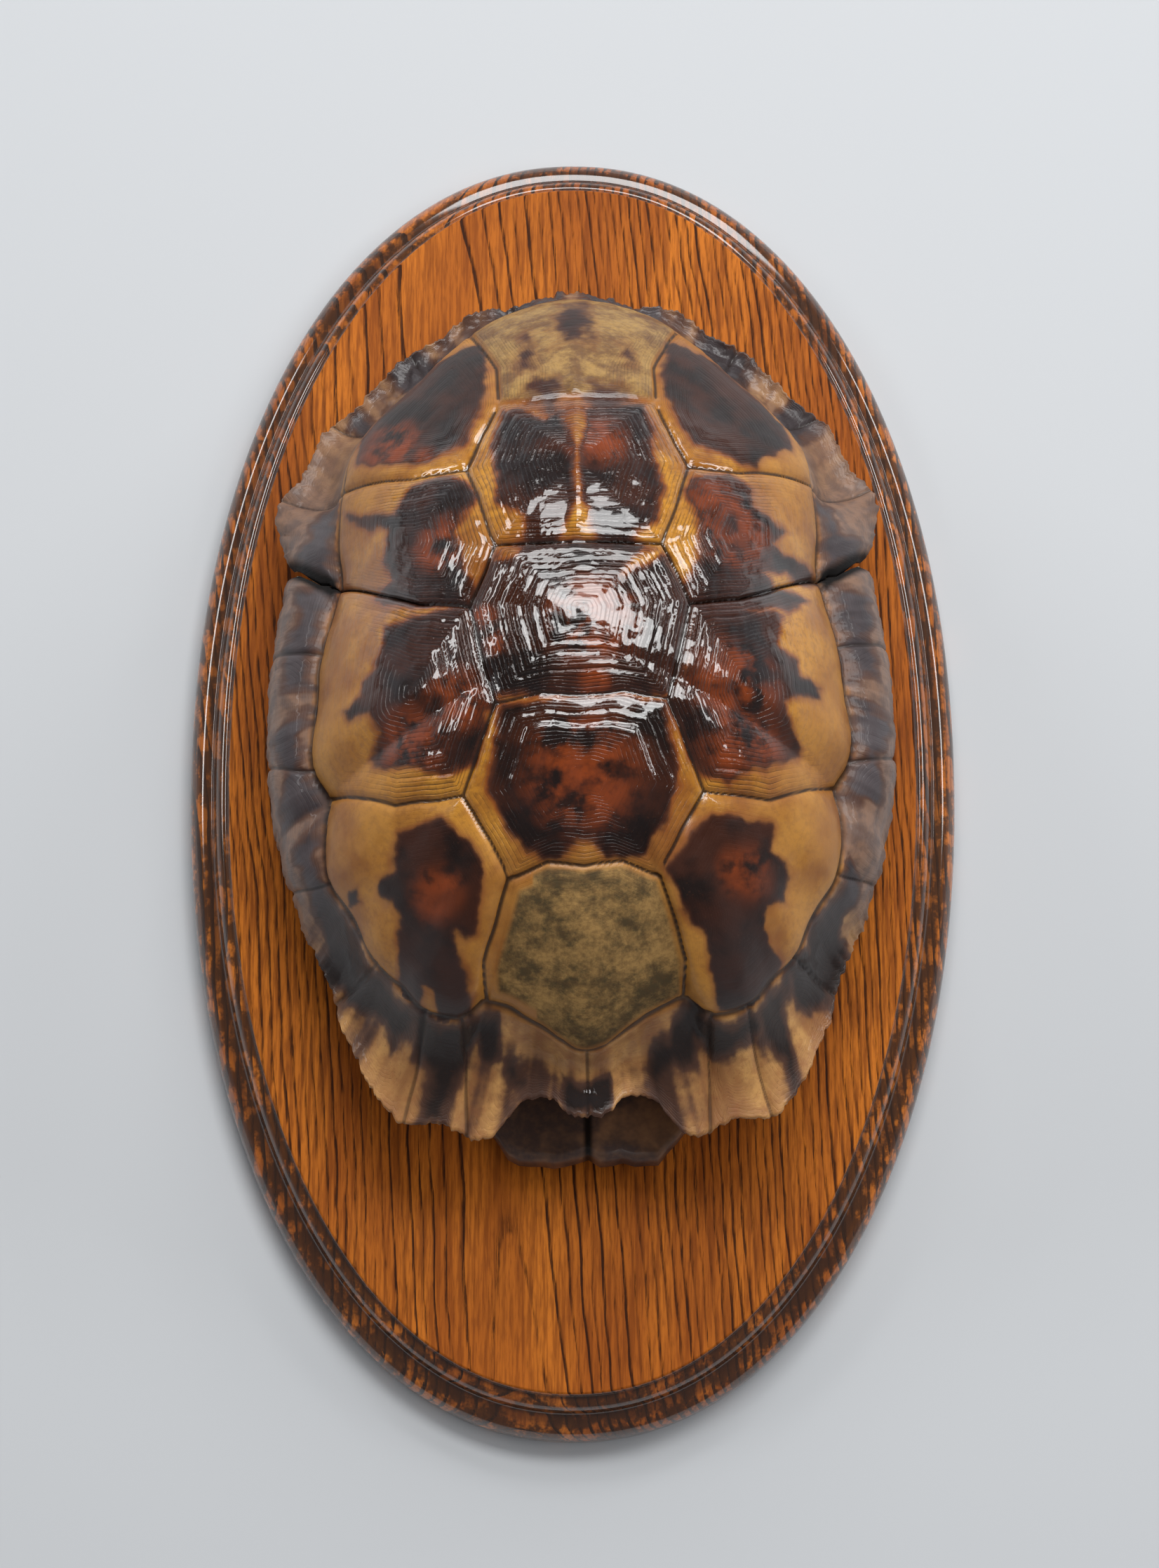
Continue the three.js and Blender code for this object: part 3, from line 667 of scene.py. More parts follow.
def place(local):
    """Local millimetres of the shell to metres in the row frame."""
    cos, sin = math.cos(SHELL_TURN), math.sin(SHELL_TURN)
    x = local[:, 0] * cos - local[:, 1] * sin + SHELL_SHIFT[0]
    y = local[:, 0] * sin + local[:, 1] * cos + SHELL_SHIFT[1]
    return np.stack([x, y, local[:, 2] + SHELL_SHIFT[2]], -1) * MM


def put(name, data):
    thing = bpy.data.objects.new(name, data)
    bpy.context.scene.collection.objects.link(thing)
    return thing


def mesh_piece(name, points, faces, attributes=None):
    mesh = bpy.data.meshes.new(name)
    mesh.from_pydata(points.tolist(), [], faces)
    mesh.validate()
    mesh.polygons.foreach_set("use_smooth", [True] * len(mesh.polygons))
    for key, values in (attributes or {}).items():
        layer = mesh.attributes.new(key, "FLOAT", "POINT")
        layer.data.foreach_set("value", np.asarray(values, np.float32))
    mesh.update()
    return put(name, mesh)


def pale_rim(fields):
    """Where the rim is tan: over the neck and towards the tail, not at the sides with their painted grey
    sheen.
    """
    away = np.abs(fields["degrees"])
    return np.maximum(1 - ramp(away, 40, 55), 0.35 * ramp(away, 125, 140))


def wear_of(fields, scute, border=0.0):
    """How worn the horn is: full on one scute, fading out just inside its seams, further in on the left."""
    inside = fields["gap"] - border * (fields["chart"][:, 0] < -12)
    return (fields["label"] == list(scutes).index(scute)) * ramp(inside, 0.3, 1.8)


def gloss_of(fields):
    """The middle of the back was handled and polished, and so are the tips of the rim at tail and neck."""
    x, y = fields["chart"].T
    back = 1 - ramp(np.hypot(x / 58, (y - 8) / 62), 0.8, 1.12)
    tips = rear_rim_of(fields["along"], fields["degrees"])
    nub = 1 - ramp(np.hypot(fields["degrees"] / 4, (fields["along"] - 1.75) / 0.25), 0.6, 1.1)
    return np.maximum(back, np.maximum(0.3 * tips, nub))


def grey_of(fields):
    """Dark horn is made greyer away from the middle of the back."""
    x, y = fields["chart"].T
    return ramp(np.hypot(x / 62, (y - 8) / 80), 0.98, 1.18)


def outward_of(degrees):
    angle = np.radians(degrees)
    return np.stack([np.sin(angle), -np.cos(angle), np.zeros_like(angle)], -1)


def wall_of(along):
    return (DOME_WALL + (RIM_WALL - DOME_WALL) * np.clip(along - 1, 0, 1))[:, None]


def inner_face(edge, toward_tail):
    """Chart points and triangles of the plain inner face, and which of its points are points of the edge."""
    coarse = skin_grid(INNER_CELLS)
    _, reach = polar_of(coarse)
    coarse = coarse[(past_hinge(coarse, toward_tail) > 2.5) & (reach < 1.9)]
    flat = [Vector(point) for point in np.concatenate([edge, coarse]).tolist()]
    points, _, triangles, sources = delaunay_2d_cdt(flat, [], [list(range(len(edge)))], 1, 1e-6)[:4]
    return np.array([tuple(point) for point in points]), triangles, {
        new: old for new, olds in enumerate(sources) for old in olds if old < len(edge)
    }


def carapace_half(name, grid, cells, toward_tail):
    chart, quads = half_skin(grid, cells, toward_tail)
    fields = shell_fields(chart)
    smooth = smooth_surface(chart)
    normal = surface_normal(chart)
    # The edge of the rim is chipped and uneven
    degrees, along = fields["degrees"], fields["along"]
    chips = waver(np.stack([degrees * RIM_MM_PER_DEGREE, along * 0], -1), 3.4, 51, 3)
    smooth = smooth + outward_of(degrees) * (0.6 * chips * ramp(along, 1.6, 2.0))[:, None]
    outer = smooth + normal * fields["height"][:, None]

    # The lip turns round a half circle from the outer skin to the inner face of the bone
    loop = boundary_loop(quads)
    wall = normal[loop] * wall_of(along[loop])
    on_rim = ramp(along[loop], 1.97, 1.995)[:, None]
    lip = outer[loop] - wall * 0.5 + outward_of(degrees[loop]) * on_rim * 0.45
    inner_chart, triangles, edge_points = inner_face(chart[loop], toward_tail)
    inner = smooth_surface(inner_chart) - surface_normal(inner_chart) * wall_of(polar_of(inner_chart)[1])
    points = np.concatenate([outer, lip, smooth[loop] - wall, inner])

    lip_start = len(outer)
    edge_start = lip_start + len(loop)
    inner_start = edge_start + len(loop)
    faces = quads.tolist()
    for i in range(len(loop)):
        j = (i + 1) % len(loop)
        faces.append([int(loop[j]), int(loop[i]), lip_start + i, lip_start + j])
        faces.append([lip_start + j, lip_start + i, edge_start + i, edge_start + j])
    for triangle in triangles:
        a, b, c = [edge_start + edge_points[k] if k in edge_points else inner_start + k for k in triangle]
        (ax, ay), (bx, by), (cx, cy) = inner_chart[list(triangle)]
        turn = (bx - ax) * (cy - ay) - (by - ay) * (cx - ax)
        faces.append([a, c, b] if turn > 0 else [a, b, c])
    used = np.unique(np.concatenate([np.array(f) for f in faces]))
    lookup = np.full(len(points), -1)
    lookup[used] = np.arange(len(used))
    faces = [[int(lookup[k]) for k in face] for face in faces]

    # Lip and edge carry what the skin beside them carries, and all inside the lip is bare bone
    follow = np.concatenate([np.arange(len(outer)), loop, loop, np.zeros(len(inner), int)])[used]
    skin = {
        "stain": stain_field(chart), "rust": rust_field(chart), "rings": fields["rings"],
        "ridges": fields["strength"], "edge": fields["gap"] + 2 * (1 - fields["healed"]),
        "band": ramp(along, 0.98, 1.06), "streak": fields["streak"], "hinge": fields["hinge_gap"],
        "pale": pale_rim(fields), "olive": wear_of(fields, "V1", 2.0), "dusty": wear_of(fields, "V5"),
        "gloss": gloss_of(fields), "grey": grey_of(fields),
    }
    attributes = {key: values[follow] for key, values in skin.items()}
    attributes["bone"] = used >= edge_start
    piece = mesh_piece(name, place(points)[used], faces, attributes)
    print(name, sum(len(p.vertices) - 2 for p in piece.data.polygons), "triangles")
    return piece


grid = skin_grid(CELLS)
carapace_front = carapace_half("carapace_front_skin", grid, CELLS, -1)
carapace_rear = carapace_half("carapace_rear_skin", grid, CELLS, 1)
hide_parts("carapace_front")
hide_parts("carapace_rear")

# %% [markdown]
# The plastron is the belly plate. From above only its gular tip shows under the front rim, and from the side
# the bridges that carry the carapace. It has seven cross seams and one along the middle.

# %% Plastron
PLASTRON_RADIUS = [
    (0, 117.4), (4, 118.8), (8, 119), (10, 117), (14, 109), (22, 95), (32, 80), (42, 66), (50, 66), (56, 78),
    (60, 86), (66, 83.5), (78, 80), (90, 77.6), (103, 77.6), (110, 79), (116, 66), (122, 56), (130, 56),
    (140, 62), (152, 70), (165, 76), (172, 75), (180, 68),
]
PLASTRON_TURN_UP = [
    (0, 11), (12, 10), (30, 5), (46, 2), (54, 8), (60, 14), (66, 14.5), (106, 14.5), (112, 8), (122, 1.5),
    (150, 2), (180, 4),
]
PLASTRON_LIFT = 0.3
PLASTRON_WALL = 5.0
PLASTRON_GROOVE = 0.7
BRIDGE_GAP = 0.5
PLASTRON_SEAMS = [-88, -62, -30, 2, 38, 62]
plastron_radius, plastron_turn_up = curve_through(PLASTRON_RADIUS), curve_through(PLASTRON_TURN_UP)


def plastron_layer(degrees, part, is_top):
    rise = plastron_turn_up(degrees)
    curl = np.clip((part - 0.55) / 0.45, 0, 1) ** 1.8
    bridge = ramp(rise, 8, 13)
    edge = plastron_radius(degrees) - (3.5 * bridge * curl if is_top else 0)
    chips = waver(np.stack([degrees * 2, degrees * 0], -1), 5.5, 41, 3)
    edge = edge + chips * (1 - ramp(np.abs(degrees), 12, 18))
    radius = edge * part
    angle = np.radians(degrees)
    x, y = radius * np.sin(angle), -radius * np.cos(angle)
    wall = PLASTRON_WALL * (1 - 0.2 * curl * (1 - bridge)) if is_top else 0
    up = PLASTRON_LIFT + rise * curl + wall - (BRIDGE_GAP * bridge * curl if is_top else 0)
    groove = bell(x, PLASTRON_GROOVE)
    for seam in PLASTRON_SEAMS:
        groove = np.maximum(groove, bell(y - seam - 0.0006 * x * x, PLASTRON_GROOVE))
    up = up + (-0.5 if is_top else 0.5) * groove * (1 - ramp(part, 0.97, 1.0) * (0 if is_top else 1))
    return np.stack([x, y, up], -1), groove


def plastron_piece(columns=256, rows=60):
    degrees = np.linspace(-180, 180, columns, endpoint=False)
    parts = np.linspace(0, 1, rows + 1)[1:] ** 0.8
    layers, grooves = [], []
    for part, is_top in [(p, False) for p in parts] + [(p, True) for p in parts[::-1]]:
        points, groove = plastron_layer(degrees, np.full(columns, part), is_top)
        layers.append(points)
        grooves.append(groove)
    bottom, top = PLASTRON_LIFT + 0.5, PLASTRON_LIFT + PLASTRON_WALL - 0.5
    points = np.concatenate(layers + [[(0, 0, bottom), (0, 0, top)]])
    low, high = len(points) - 2, len(points) - 1
    faces = []
    for i in range(columns):
        j = (i + 1) % columns
        faces.append([low, j, i])
        faces.append([high, (len(layers) - 1) * columns + i, (len(layers) - 1) * columns + j])
        for k in range(len(layers) - 1):
            a, b = k * columns, (k + 1) * columns
            faces.append([a + i, a + j, b + j, b + i])
    seam = np.concatenate(grooves + [[1.0, 1.0]])
    piece = mesh_piece("plastron_plate", place(points), faces, {"seam": seam})
    print("plastron", len(faces) * 2, "triangles")
    return piece


plastron = plastron_piece()
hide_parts("plastron")

# %% [markdown]
# A router cuts the plaque's edge to one moulded section all round the oval board. Geometry Nodes do the
# same: the section is swept along the oval, and the two flat faces are filled in. The section steps down
# from the face over a bead, falls through a cove, and ends in a rounded lip above the table.

# %% Plaque
PLAQUE_LENGTH, PLAQUE_WIDTH = 341.0, 200.0
SQUARENESS = 2.1
SECTION = [
    (0.8, 0), (0.25, 0.25), (0, 0.8), (0, 3.6), (0, 6.5), (0.25, 7.9), (0.8, 9.1), (1.5, 10.1), (2.4, 10.9),
    (3.4, 11.5), (4.5, 11.85), (5.8, 12), (6.1, 12.15), (6.5, 12.5), (6.75, 13.0), (7.0, 13.8), (7.4, 14.9),
    (8, 15.8), (8.7, 16.35), (9.6, 16.65), (10.6, 16.8), (10.7, 17.6), (10.85, 18.3), (11.1, 18.75),
    (11.6, 19),
]


def oval_point(angle):
    def bend(value):
        return math.copysign(abs(value) ** (2 / SQUARENESS), value)
    return PLAQUE_WIDTH / 2 * bend(math.cos(angle)) * MM, PLAQUE_LENGTH / 2 * bend(math.sin(angle)) * MM


def poly_curve(name, points, closed):
    data = bpy.data.curves.new(name, "CURVE")
    data.dimensions = "3D"
    spline = data.splines.new("POLY")
    spline.points.add(len(points) - 1)
    for point, (x, y, z) in zip(spline.points, points):
        point.co = (x, y, z, 1)
    spline.use_cyclic_u = closed
    return put(name, data)


def sweep_tree():
    """Geometry Nodes that sweep a section along a path, both given as curve objects."""
    tree = bpy.data.node_groups.new("moulding_sweep", "GeometryNodeTree")
    given = {
        "Geometry": "Geometry", "Path": "Object", "Section": "Object", "Columns": "Int",
        "Finish": "Material",
    }
    for key, kind in given.items():
        tree.interface.new_socket(key, in_out="INPUT", socket_type="NodeSocket" + kind)
    tree.interface.new_socket("Geometry", in_out="OUTPUT", socket_type="NodeSocketGeometry")
    start, end = tree.nodes.new("NodeGroupInput"), tree.nodes.new("NodeGroupOutput")
    path_info, section_info, resample, upright, sweep, real, finish = [
        tree.nodes.new("GeometryNode" + kind) for kind in (
            "ObjectInfo", "ObjectInfo", "ResampleCurve", "SetCurveNormal", "CurveToMesh", "RealizeInstances",
            "SetMaterial",
        )
    ]
    upright.mode = "Z_UP"
    for source, output, target, entry in (
        (start, "Path", path_info, "Object"),
        (start, "Section", section_info, "Object"),
        (path_info, "Geometry", resample, "Curve"),
        (start, "Columns", resample, "Count"),
        (resample, "Curve", upright, "Curve"),
        (upright, "Curve", sweep, "Curve"),
        (section_info, "Geometry", sweep, "Profile Curve"),
        (sweep, "Mesh", real, "Geometry"),
        (real, "Geometry", finish, "Geometry"),
        (start, "Finish", finish, "Material"),
        (finish, "Geometry", end, "Geometry"),
    ):
        tree.links.new(source.outputs[output], target.inputs[entry])
    return tree


def set_inputs(modifier, values):
    for item in modifier.node_group.interface.items_tree:
        if item.in_out == "INPUT" and item.name in values:
            modifier[item.identifier] = values[item.name]


wood_finish = bpy.data.materials.new("plaque_wood")
steps = 320
oval = poly_curve("oval_path", [(*oval_point(2 * math.pi * i / steps), 0) for i in range(steps)], True)
section = poly_curve("moulding_section", [(-inset * MM, -up * MM, 0) for inset, up in SECTION], False)
holder = mesh_piece("sweep_holder", np.zeros((1, 3)), [])
modifier = holder.modifiers.new("sweep", "NODES")
modifier.node_group = sweep_tree()
set_inputs(modifier, {"Path": oval, "Section": section, "Columns": steps, "Finish": wood_finish})
bpy.context.view_layer.update()
swept = bpy.data.meshes.new_from_object(holder.evaluated_get(bpy.context.evaluated_depsgraph_get()))
for helper in (holder, oval, section):
    bpy.data.objects.remove(helper)

work = bmesh.new()
work.from_mesh(swept)
bmesh.ops.remove_doubles(work, verts=work.verts, dist=1e-7)
open_edges = [edge for edge in work.edges if len(edge.link_faces) == 1]
bmesh.ops.holes_fill(work, edges=open_edges, sides=0)
bmesh.ops.recalc_face_normals(work, faces=work.faces)
for face in work.faces:
    face.smooth = len(face.verts) == 4
work.to_mesh(swept)
work.free()
swept.name = "plaque_board"
plaque = put("plaque_board", swept)
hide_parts("plaque")
low, high = [Vector(map(f, zip(*[v.co for v in swept.vertices]))) for f in (min, max)]
print("plaque box (mm):", [round(v / MM, 1) for v in (*low, *high)], "open edges filled:", len(open_edges))

# %% [markdown]
# Finishes are built from node groups. A group gives only colours, masks or heights, and the material that
# uses it holds the shader and its plain numbers.
# A signal is an output inside a node tree, and plain arithmetic on signals adds the math nodes.

# %% Node helpers
class Signal:
    """An output inside a node tree, which takes part in sums like a number."""

    def __init__(self, socket):
        self.socket = socket
        self.tree = socket.id_data

    def __add__(self, other):
        return maths("ADD", self, other)

    def __sub__(self, other):
        return maths("SUBTRACT", self, other)

    def __rsub__(self, other):
        return maths("SUBTRACT", other, self)

    def __mul__(self, other):
        return maths("MULTIPLY", self, other)

    def __truediv__(self, other):
        return maths("DIVIDE", self, other)

    def __abs__(self):
        return maths("ABSOLUTE", self)


def add(tree, kind, inputs=None, **settings):
    """A node with its settings made, its plain inputs filled in and its signals linked."""
    node = tree.nodes.new(kind)
    for key, value in settings.items():
        setattr(node, key, value)
    for key, value in (inputs or {}).items():
        if isinstance(value, Signal):
            tree.links.new(value.socket, node.inputs[key])
        else:
            node.inputs[key].default_value = value
    return node


def signal(tree, kind, inputs=None, output=0, **settings):
    return Signal(add(tree, kind, inputs, **settings).outputs[output])


def maths(operation, *values):
    tree = next(value.tree for value in values if isinstance(value, Signal))
    return signal(tree, "ShaderNodeMath", dict(enumerate(values)), operation=operation)


def chance_of(count):
    """A random number between 0 and 1 for every whole part of a count."""
    whole = maths("FLOOR", count)
    return signal(count.tree, "ShaderNodeTexWhiteNoise", {"W": whole}, noise_dimensions="1D")


def fade(value, low, high):
    """0 up to the low bound, 1 from the high bound, and smooth between."""
    inputs = {0: value, 1: low, 2: high}
    return signal(value.tree, "ShaderNodeMapRange", inputs, interpolation_type="SMOOTHSTEP")


def blend(mask, below, above):
    return signal(mask.tree, "ShaderNodeMix", {0: mask, 6: below, 7: above}, output=2, data_type="RGBA")


def paint(color, *coats):
    """A colour with others laid over it in turn, each where its mask says."""
    for mask, coat in coats:
        color = blend(mask, color, coat)
    return color


def noise(place, scale, detail=3.0, rough=0.5):
    inputs = {"Vector": place, "Scale": scale, "Detail": detail, "Roughness": rough}
    return signal(place.tree, "ShaderNodeTexNoise", inputs)


def stretched(place, *scale):
    return signal(place.tree, "ShaderNodeMapping", {0: place, "Scale": scale})


def axes(place):
    return [Signal(socket) for socket in add(place.tree, "ShaderNodeSeparateXYZ", {0: place}).outputs]


def bump(height, strength, distance, under=None):
    inputs = {"Strength": strength, "Distance": distance, "Height": height}
    if under:
        inputs["Normal"] = under
    return signal(height.tree, "ShaderNodeBump", inputs)


def carried(tree, name):
    return signal(tree, "ShaderNodeAttribute", output="Fac", attribute_name=name)


def object_place(tree):
    return signal(tree, "ShaderNodeTexCoord", output="Object")


def tint(red, green, blue):
    """A colour given as it looks on screen, turned to the linear values that shaders take."""
    def linear(value):
        value /= 255
        return value / 12.92 if value <= 0.04045 else ((value + 0.055) / 1.055) ** 2.4
    return linear(red), linear(green), linear(blue), 1.0


def signals_of(sockets):
    return {socket.name: Signal(socket) for socket in sockets if socket.name}


def new_group(name, inputs, outputs):
    """A shader node group and the signals that it is given, by name."""
    tree = bpy.data.node_groups.new(name, "ShaderNodeTree")
    for way, sockets in (("INPUT", inputs), ("OUTPUT", outputs)):
        for key, kind in sockets.items():
            tree.interface.new_socket(key, in_out=way, socket_type=kind)
    return tree, signals_of(add(tree, "NodeGroupInput").outputs)


def use(group, inputs):
    """What a node group gives for its inputs, by name."""
    tree = next(value.tree for value in inputs.values())
    return signals_of(add(tree, "ShaderNodeGroup", inputs, node_tree=group).outputs)


def fresh_material(name):
    material = bpy.data.materials.get(name) or bpy.data.materials.new(name)
    material.use_nodes = True
    material.node_tree.nodes.clear()
    return material, material.node_tree


def shade(tree, inputs):
    """The shader of a material, with its signals and its plain numbers."""
    shader = signal(tree, "ShaderNodeBsdfPrincipled", inputs)
    add(tree, "ShaderNodeOutputMaterial", {0: shader})


VALUE, COLOUR, VECTOR = "NodeSocketFloat", "NodeSocketColor", "NodeSocketVector"
VARNISH_IOR = 1.8

# %% [markdown]
# Oak shows dark bands of open pores where each ring began. The log's heart ran a little off the board's
# length, so the bands stand nearly upright on the face, open into a wide plain field near the middle, and
# turn into stripes on the moulding. A stain of red-brown and a gloss varnish lie over it.

# %% Wood
RINGS_PER_MM = 0.48
HEART_LEAN, HEART_OFFSET = 0.079, 25.0
HEART_DIP, HEART_DEPTH = 0.02, 16.0
FACE_EDGE = (18.2, 18.95)
CORNERS_OF_MOULDING = {12.2: 1.0, 17.3: 0.9}


def wood_group():
    tree, given = new_group("ring_porous_wood", {"Place": VECTOR}, {
        "Color": COLOUR, "Moulding": VALUE, "Height": VALUE,
    })
    place = stretched(given["Place"], 1000, 1000, 1000)
    x, y, z = axes(place)
    # The rings run round the heart of the log, which sways along the board
    sway = noise(stretched(place, 1, 0.35, 1), 0.012, 2) - 0.5
    ripple = noise(stretched(place, 1, 0.5, 1), 0.07, 2) - 0.5
    lean = y * HEART_LEAN + x + HEART_OFFSET + sway * 22.0 + ripple * 3.0
    deep = z * 0.6 + (y * HEART_DIP + HEART_DEPTH)
    reach = maths("SQRT", lean * lean + deep * deep)
    count = reach * RINGS_PER_MM
    phase = maths("FRACT", count)
    slope = abs(lean) / reach * 0.34 + 0.06
    rise = fade(phase, 0.0, slope * 0.3)
    fall = fade(phase, slope * 0.5, slope * 1.5)
    band = rise * (1.0 - fall) * (chance_of(count) * 0.65 + 0.4)
    # Pores are long thin openings, thick in the band and rare between
    fine = stretched(place, 1, 0.05, 1)
    hairs = noise(fine, 2.4, 4, 0.65)
    streaks = noise(fine, 0.9, 3, 0.6)
    open_pores = fade(band * 0.3 + hairs, 0.62, 0.80)
    dark_band = band * fade(streaks, 0.30, 0.62)
    tone = noise(stretched(place, 1, 0.15, 1), 0.05)
    fleck = noise(stretched(place, 1, 0.12, 1), 1.8)
    color = paint(
        blend(fade(tone, 0.35, 0.65), tint(212, 122, 40), tint(172, 92, 30)),
        (fade(streaks, 0.40, 0.64) * 0.65, tint(126, 62, 20)),
        (fade(fleck, 0.45, 0.7) * 0.4, tint(118, 58, 22)),
        (dark_band * 0.9, tint(76, 38, 18)),
        (open_pores * 0.85, tint(50, 25, 13)),
    )
    # Dark stain gathered on the moulding, where the router left end grain, and the moulding is darker
    # towards the head end of the board and along its two inner corners
    slant = 1.0 - fade(z, *FACE_EDGE)
    patch = noise(place, 0.16, 4, 0.65)
    lower = 1.0 - fade(y, -150.0, 60.0)
    soaked_and_low_end = fade(lower * 0.05 + (dark_band * 0.35 + patch), 0.44, 0.58) * slant
    corners = [1.0 - fade(abs(z - level), 0.2, width) for level, width in CORNERS_OF_MOULDING.items()]
    color = paint(
        color,
        (soaked_and_low_end * 0.84, tint(50, 31, 18)),
        (maths("MAXIMUM", *corners) * 0.6, tint(56, 33, 20)),
    )
    height = open_pores * -1.0 + dark_band * -0.4
    add(tree, "NodeGroupOutput", {"Color": color, "Moulding": slant, "Height": height})
    return tree


wood_tree = wood_group()
wood_finish, tree = fresh_material("plaque_wood")
grain = use(wood_tree, {"Place": object_place(tree)})
# The face is rubbed down to satin, the moulding keeps its gloss
shade(tree, {
    "Base Color": grain["Color"], "Normal": bump(grain["Height"], 0.35, 0.00035),
    "Roughness": 0.55, "Specular IOR Level": 0.1,
    "Coat Weight": grain["Moulding"], "Coat Roughness": 0.1, "Coat IOR": VARNISH_IOR,
})
plaque.data.materials.clear()
plaque.data.materials.append(wood_finish)
print("wood nodes:", len(wood_tree.nodes))

# %% [markdown]
# Horn is amber where it is thin and free of pigment, and stained from rust to near black where the animal
# laid pigment down. The signed distance into a stain, ruffled by noise, picks the colour. The broad rings
# are in the mesh, and the bump adds finer ones that cut the reflection of a window into broken lines. The
# middle of the back shines under a coat of lacquer, and the sides are duller.

# %% Growth ridges
FINE_RINGS = 1.7


def ridge_group():
    tree, given = new_group("growth_ridges", {"Count": VALUE, "Amount": VALUE, "Place": VECTOR}, {
        "Height": VALUE,
    })
    drift, breaks, grit = (noise(given["Place"], *kind) for kind in ((130.0, 2), (240.0, 3), (1100.0, 2)))
    count = drift * 0.9 + given["Count"]
    phase = maths("FRACT", count) - 0.5
    # A ring is a low ridge with a lean of its own, and a narrow furrow parts it from the next
    lean = (chance_of(count) - 0.5) * phase
    furrow = fade(abs(phase), 0.34, 0.5) * fade(breaks, 0.3, 0.6)
    crown = phase * phase * -1.8
    height = lean * 2.8 + (crown - furrow) + grit * 0.5 + breaks * 1.2
    add(tree, "NodeGroupOutput", {"Height": height * given["Amount"]})
    return tree


# %% Stained horn
HORN_MASKS = ("Stain", "Rust", "Edge", "Band", "Streak", "Pale", "Grey", "Gloss")


def horn_group():
    inputs = dict.fromkeys(HORN_MASKS, VALUE) | {"Place": VECTOR}
    tree, given = new_group("stained_horn", inputs, {"Color": COLOUR, "Dark": VALUE})
    place, band, streak, pale = (given[key] for key in ("Place", "Band", "Streak", "Pale"))
    ruffle = noise(place, 210.0, 3, 0.55) - 0.5
    cloud = noise(place, 75.0) - 0.5
    speck = noise(place, 1300.0, 2, 0.6)
    mottle = noise(place, 620.0, 3, 0.6)
    stain = cloud * 1.8 + (ruffle * 2.0 + given["Stain"])
    on_rim = (streak * 1.4 + stain) * 0.5
    stain = stain + (on_rim - stain) * band
    # Clear horn is amber on the dome, grey-brown at the sides of the rim and tan at its ends
    amber = paint(
        blend(fade(noise(place, 48.0), 0.4, 0.62), tint(208, 144, 48), tint(156, 94, 34)),
        (fade(mottle, 0.42, 0.68) * 0.45, tint(122, 76, 36)),
    )
    sides = blend(fade(ruffle, -0.15, 0.15), tint(140, 108, 88), tint(108, 86, 76))
    lichen = fade(noise(place, 330.0, 5, 0.7), 0.44, 0.66)
    ends = paint(
        blend(fade(streak, -1.6, 1.6), tint(226, 172, 104), tint(134, 84, 50)),
        (fade(ruffle, -0.2, 0.2) * 0.6, tint(150, 100, 62)),
        (lichen * 0.4, tint(158, 98, 58)),
    )
    clear = blend(band, amber, blend(pale, sides, ends))
    # Stains go from rust at their edge to near black inside
    fringe = blend(band, blend(fade(stain, -1.5, 0.1), clear, tint(136, 72, 28)), clear)
    depth = blend(fade(cloud, -0.12, 0.12), tint(28, 15, 11), tint(62, 29, 15))
    # Painted sheen: on the rim's sides the dark of the stains is laid in grey, standing in for the pale
    # room's reflection on steep horn
    grey = blend(fade(cloud, -0.15, 0.15), tint(60, 52, 54), tint(86, 78, 80))
    depth = blend(band, depth, blend(pale, grey, tint(42, 32, 29)))
    rusty = fade(cloud * 0.7 + ruffle, -0.2, 0.14)
    # Away from the polished middle, dark horn is made greyer and amber weathers to tan
    on_dome = 1.0 - band
    dark_part = fade(stain, -0.2, 1.0)
    faded = (1.0 - dark_part) * (1.0 - given["Gloss"])
    tan = blend(fade(cloud, -0.12, 0.12), tint(188, 132, 66), tint(150, 94, 44))
    seam = (1.0 - fade(given["Edge"], 0.2, 0.65)) * (band * -0.3 + 0.88)
    color = paint(
        fringe,
        (fade(stain, -0.3, 0.6), blend(band, tint(82, 42, 24), tint(92, 62, 48))),
        (fade(stain, 0.2, 1.7), blend(given["Rust"] * rusty, depth, tint(140, 62, 22))),
        (fade(speck, 0.6, 0.75) * 0.3, tint(84, 48, 28)),
        (dark_part * given["Grey"] * 0.5 * on_dome, tint(62, 50, 48)),
        (faded * on_dome * 0.6, tan),
        (seam, tint(34, 22, 16)),
    )
    add(tree, "NodeGroupOutput", {"Color": color, "Dark": dark_part})
    return tree


ridge_tree, horn_tree = ridge_group(), horn_group()


